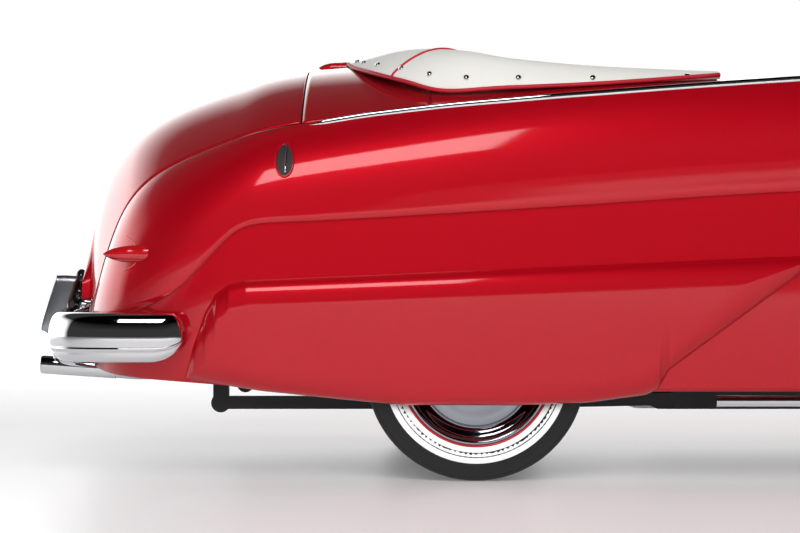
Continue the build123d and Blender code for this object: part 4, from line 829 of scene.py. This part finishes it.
for name, (half_width, foot_x, outline) in BENCHES.items():
    outline = np.array(outline) + np.array([foot_x, 0])
    ring = smooth_path(np.vstack([outline, outline[:1]]), 97)[:-1]
    core = ring.mean(axis=0)
    roll = END_ROLL * (1 - np.cos(np.linspace(0, np.pi / 2, 12)))[:-1]
    straight = np.linspace(-half_width + END_ROLL, half_width - END_ROLL, 260)
    y = np.concatenate([-half_width + roll, straight, half_width - roll[::-1]])
    from_end = np.clip((half_width - np.abs(y)) / END_ROLL, 0, 1)
    pull = END_ROLL * (1 - np.sqrt(np.clip(1 - (1 - from_end) ** 2, 0, 1)))
    channel = CHANNEL_DEPTH * (1 - np.abs(np.sin(np.pi * y / CHANNEL_PITCH)) ** 0.5) * from_end
    away = ring - core
    reach = np.linalg.norm(away, axis=1, keepdims=True)
    kept = 1 - (pull + channel)[:, None, None] / reach[None]
    points = core + away[None] * kept
    wide = np.broadcast_to(y[:, None], points.shape[:2])
    points = np.stack([points[..., 0], wide, points[..., 1]], axis=-1)
    bench = grid_piece(name + "_padded", points, closed_columns=True, cap_rows=True)
    dress(bench, "body", leather, (name,))
print("benches:", ", ".join(BENCHES))

# %% [markdown]
# ## Floor
#
# A plain pale floor. Its glow rises towards the back, so that it runs into the white background without a
# line.

# %% Floor
FLOOR_SIZE = 60
bpy.ops.mesh.primitive_plane_add(size=FLOOR_SIZE, location=(0, 0, 0))
floor = bpy.context.object
floor.name = "floor"
paving = principled("floor_white", (0.78, 0.78, 0.79), 0.35, Emission_Color=(1, 1, 1, 1))
tree = paving.node_tree
place = tree.nodes.new("ShaderNodeTexCoord")
parts = tree.nodes.new("ShaderNodeSeparateXYZ")
glow = tree.nodes.new("ShaderNodeMapRange")
for socket, value in (("From Min", 1.5), ("From Max", 9.0), ("To Min", 0.14), ("To Max", 0.75)):
    glow.inputs[socket].default_value = value
tree.links.new(place.outputs["Object"], parts.inputs["Vector"])
tree.links.new(parts.outputs["Y"], glow.inputs["Value"])
tree.links.new(glow.outputs["Result"], tree.nodes["Principled BSDF"].inputs["Emission Strength"])
floor.data.materials.append(paving)
print("floor", FLOOR_SIZE, "m wide")

# %% [markdown]
# ## Lights
#
# A broad soft light from the front lights the side, a box above it draws the highlight on the shoulder, and
# a weak light overhead lifts the cabin. Only the box shows in the gloss.

# %% Lights

def area_light(name, place, target, size, power):
    light = bpy.data.lights.new(name, "AREA")
    light.shape = "RECTANGLE"
    light.size, light.size_y = size
    light.energy = power
    lamp = bpy.data.objects.new(name, light)
    lamp.location = place
    direction = np.array(target) - np.array(place)
    lamp.rotation_euler = (math.atan2(math.hypot(*direction[:2]), -direction[2]), 0,
                           math.atan2(direction[1], direction[0]) - math.pi / 2)
    bpy.context.scene.collection.objects.link(lamp)
    return lamp


area_light("overhead", (-0.6, 0.4, 4.6), (-0.6, 0.2, 0.0), (7.0, 2.6), 45).visible_glossy = False
area_light("front_box", (-2.3, -3.9, 3.6), (-1.9, -0.8, 0.9), (2.0, 1.2), 42)
fill = area_light("front_fill", (-1.4, -7.0, 2.9), (-1.4, 0.0, 0.5), (9.0, 3.5), 490)
fill.visible_glossy = False
print("three area lights")

# %% [markdown]
# ## World
#
# A bright wall behind the car and a dark room elsewhere, so that the paint and the chrome have something
# dark to show. The wall is a product of two ramps of the ray's direction. Gloss sees it brighter than it
# lights, as an overexposed studio wall is. The background is white to the camera.

# %% World
WALL_LIGHT = 0.8
WALL_GLOSS = 1.2
world = bpy.data.worlds.new("studio")
bpy.context.scene.world = world
world.use_nodes = True
tree = world.node_tree


def ramp_of(socket, stops):
    """A grey ramp of one part of the direction a ray leaves in; stops are (place, brightness)."""
    spread = tree.nodes.new("ShaderNodeMapRange")
    spread.inputs["From Min"].default_value = -1
    ramp = tree.nodes.new("ShaderNodeValToRGB")
    while len(ramp.color_ramp.elements) < len(stops):
        ramp.color_ramp.elements.new(0.5)
    for element, (place, grey) in zip(ramp.color_ramp.elements, stops):
        element.position = (place + 1) / 2
        element.color = (grey, grey, grey, 1)
    tree.links.new(socket, spread.inputs["Value"])
    tree.links.new(spread.outputs["Result"], ramp.inputs["Fac"])
    return ramp.outputs["Color"]


room = tree.nodes["Background"]
white = tree.nodes.new("ShaderNodeBackground")
white.inputs["Color"].default_value = (1, 1, 1, 1)
rays = tree.nodes.new("ShaderNodeLightPath")
mix = tree.nodes.new("ShaderNodeMixShader")
place = tree.nodes.new("ShaderNodeTexCoord")
parts = tree.nodes.new("ShaderNodeSeparateXYZ")
wall = tree.nodes.new("ShaderNodeMix")
wall.data_type = "RGBA"
wall.blend_type = "MULTIPLY"
wall.inputs["Factor"].default_value = 1
tree.links.new(place.outputs["Generated"], parts.inputs["Vector"])
tree.links.new(ramp_of(parts.outputs["Y"], [(0.0, 0.02), (0.25, 1.0)]), wall.inputs["A"])
tree.links.new(ramp_of(parts.outputs["Z"], [(0.30, 1.0), (0.54, 0.02)]), wall.inputs["B"])
tree.links.new(wall.outputs["Result"], room.inputs["Color"])
gloss = tree.nodes.new("ShaderNodeMath")
gloss.operation = "MULTIPLY_ADD"
gloss.inputs[1].default_value = WALL_GLOSS
gloss.inputs[2].default_value = WALL_LIGHT
tree.links.new(rays.outputs["Is Glossy Ray"], gloss.inputs[0])
tree.links.new(gloss.outputs["Value"], room.inputs["Strength"])
tree.links.new(rays.outputs["Is Camera Ray"], mix.inputs["Fac"])
tree.links.new(room.outputs["Background"], mix.inputs[1])
tree.links.new(white.outputs["Background"], mix.inputs[2])
tree.links.new(mix.outputs["Shader"], tree.nodes["World Output"].inputs["Surface"])
bpy.context.scene.view_settings.view_transform = "Standard"
print("world set")

# %% [markdown]
# ## Camera
#
# Level, looking straight across the car at its right side, from where the photograph was taken.

# %% Camera
IMAGE_WIDTH = 800
FOCAL_PIXELS = 2330
lens = bpy.data.cameras.new("camera")
lens.sensor_width = 36
lens.lens = FOCAL_PIXELS * lens.sensor_width / IMAGE_WIDTH
camera = bpy.data.objects.new("camera", lens)
camera.location = (REAR_AXLE_X - 0.213, -7.350, 0.602)
camera.rotation_euler = (math.pi / 2, 0, 0)
bpy.context.scene.collection.objects.link(camera)
bpy.context.scene.camera = camera
print("lens", round(lens.lens, 1), "mm")
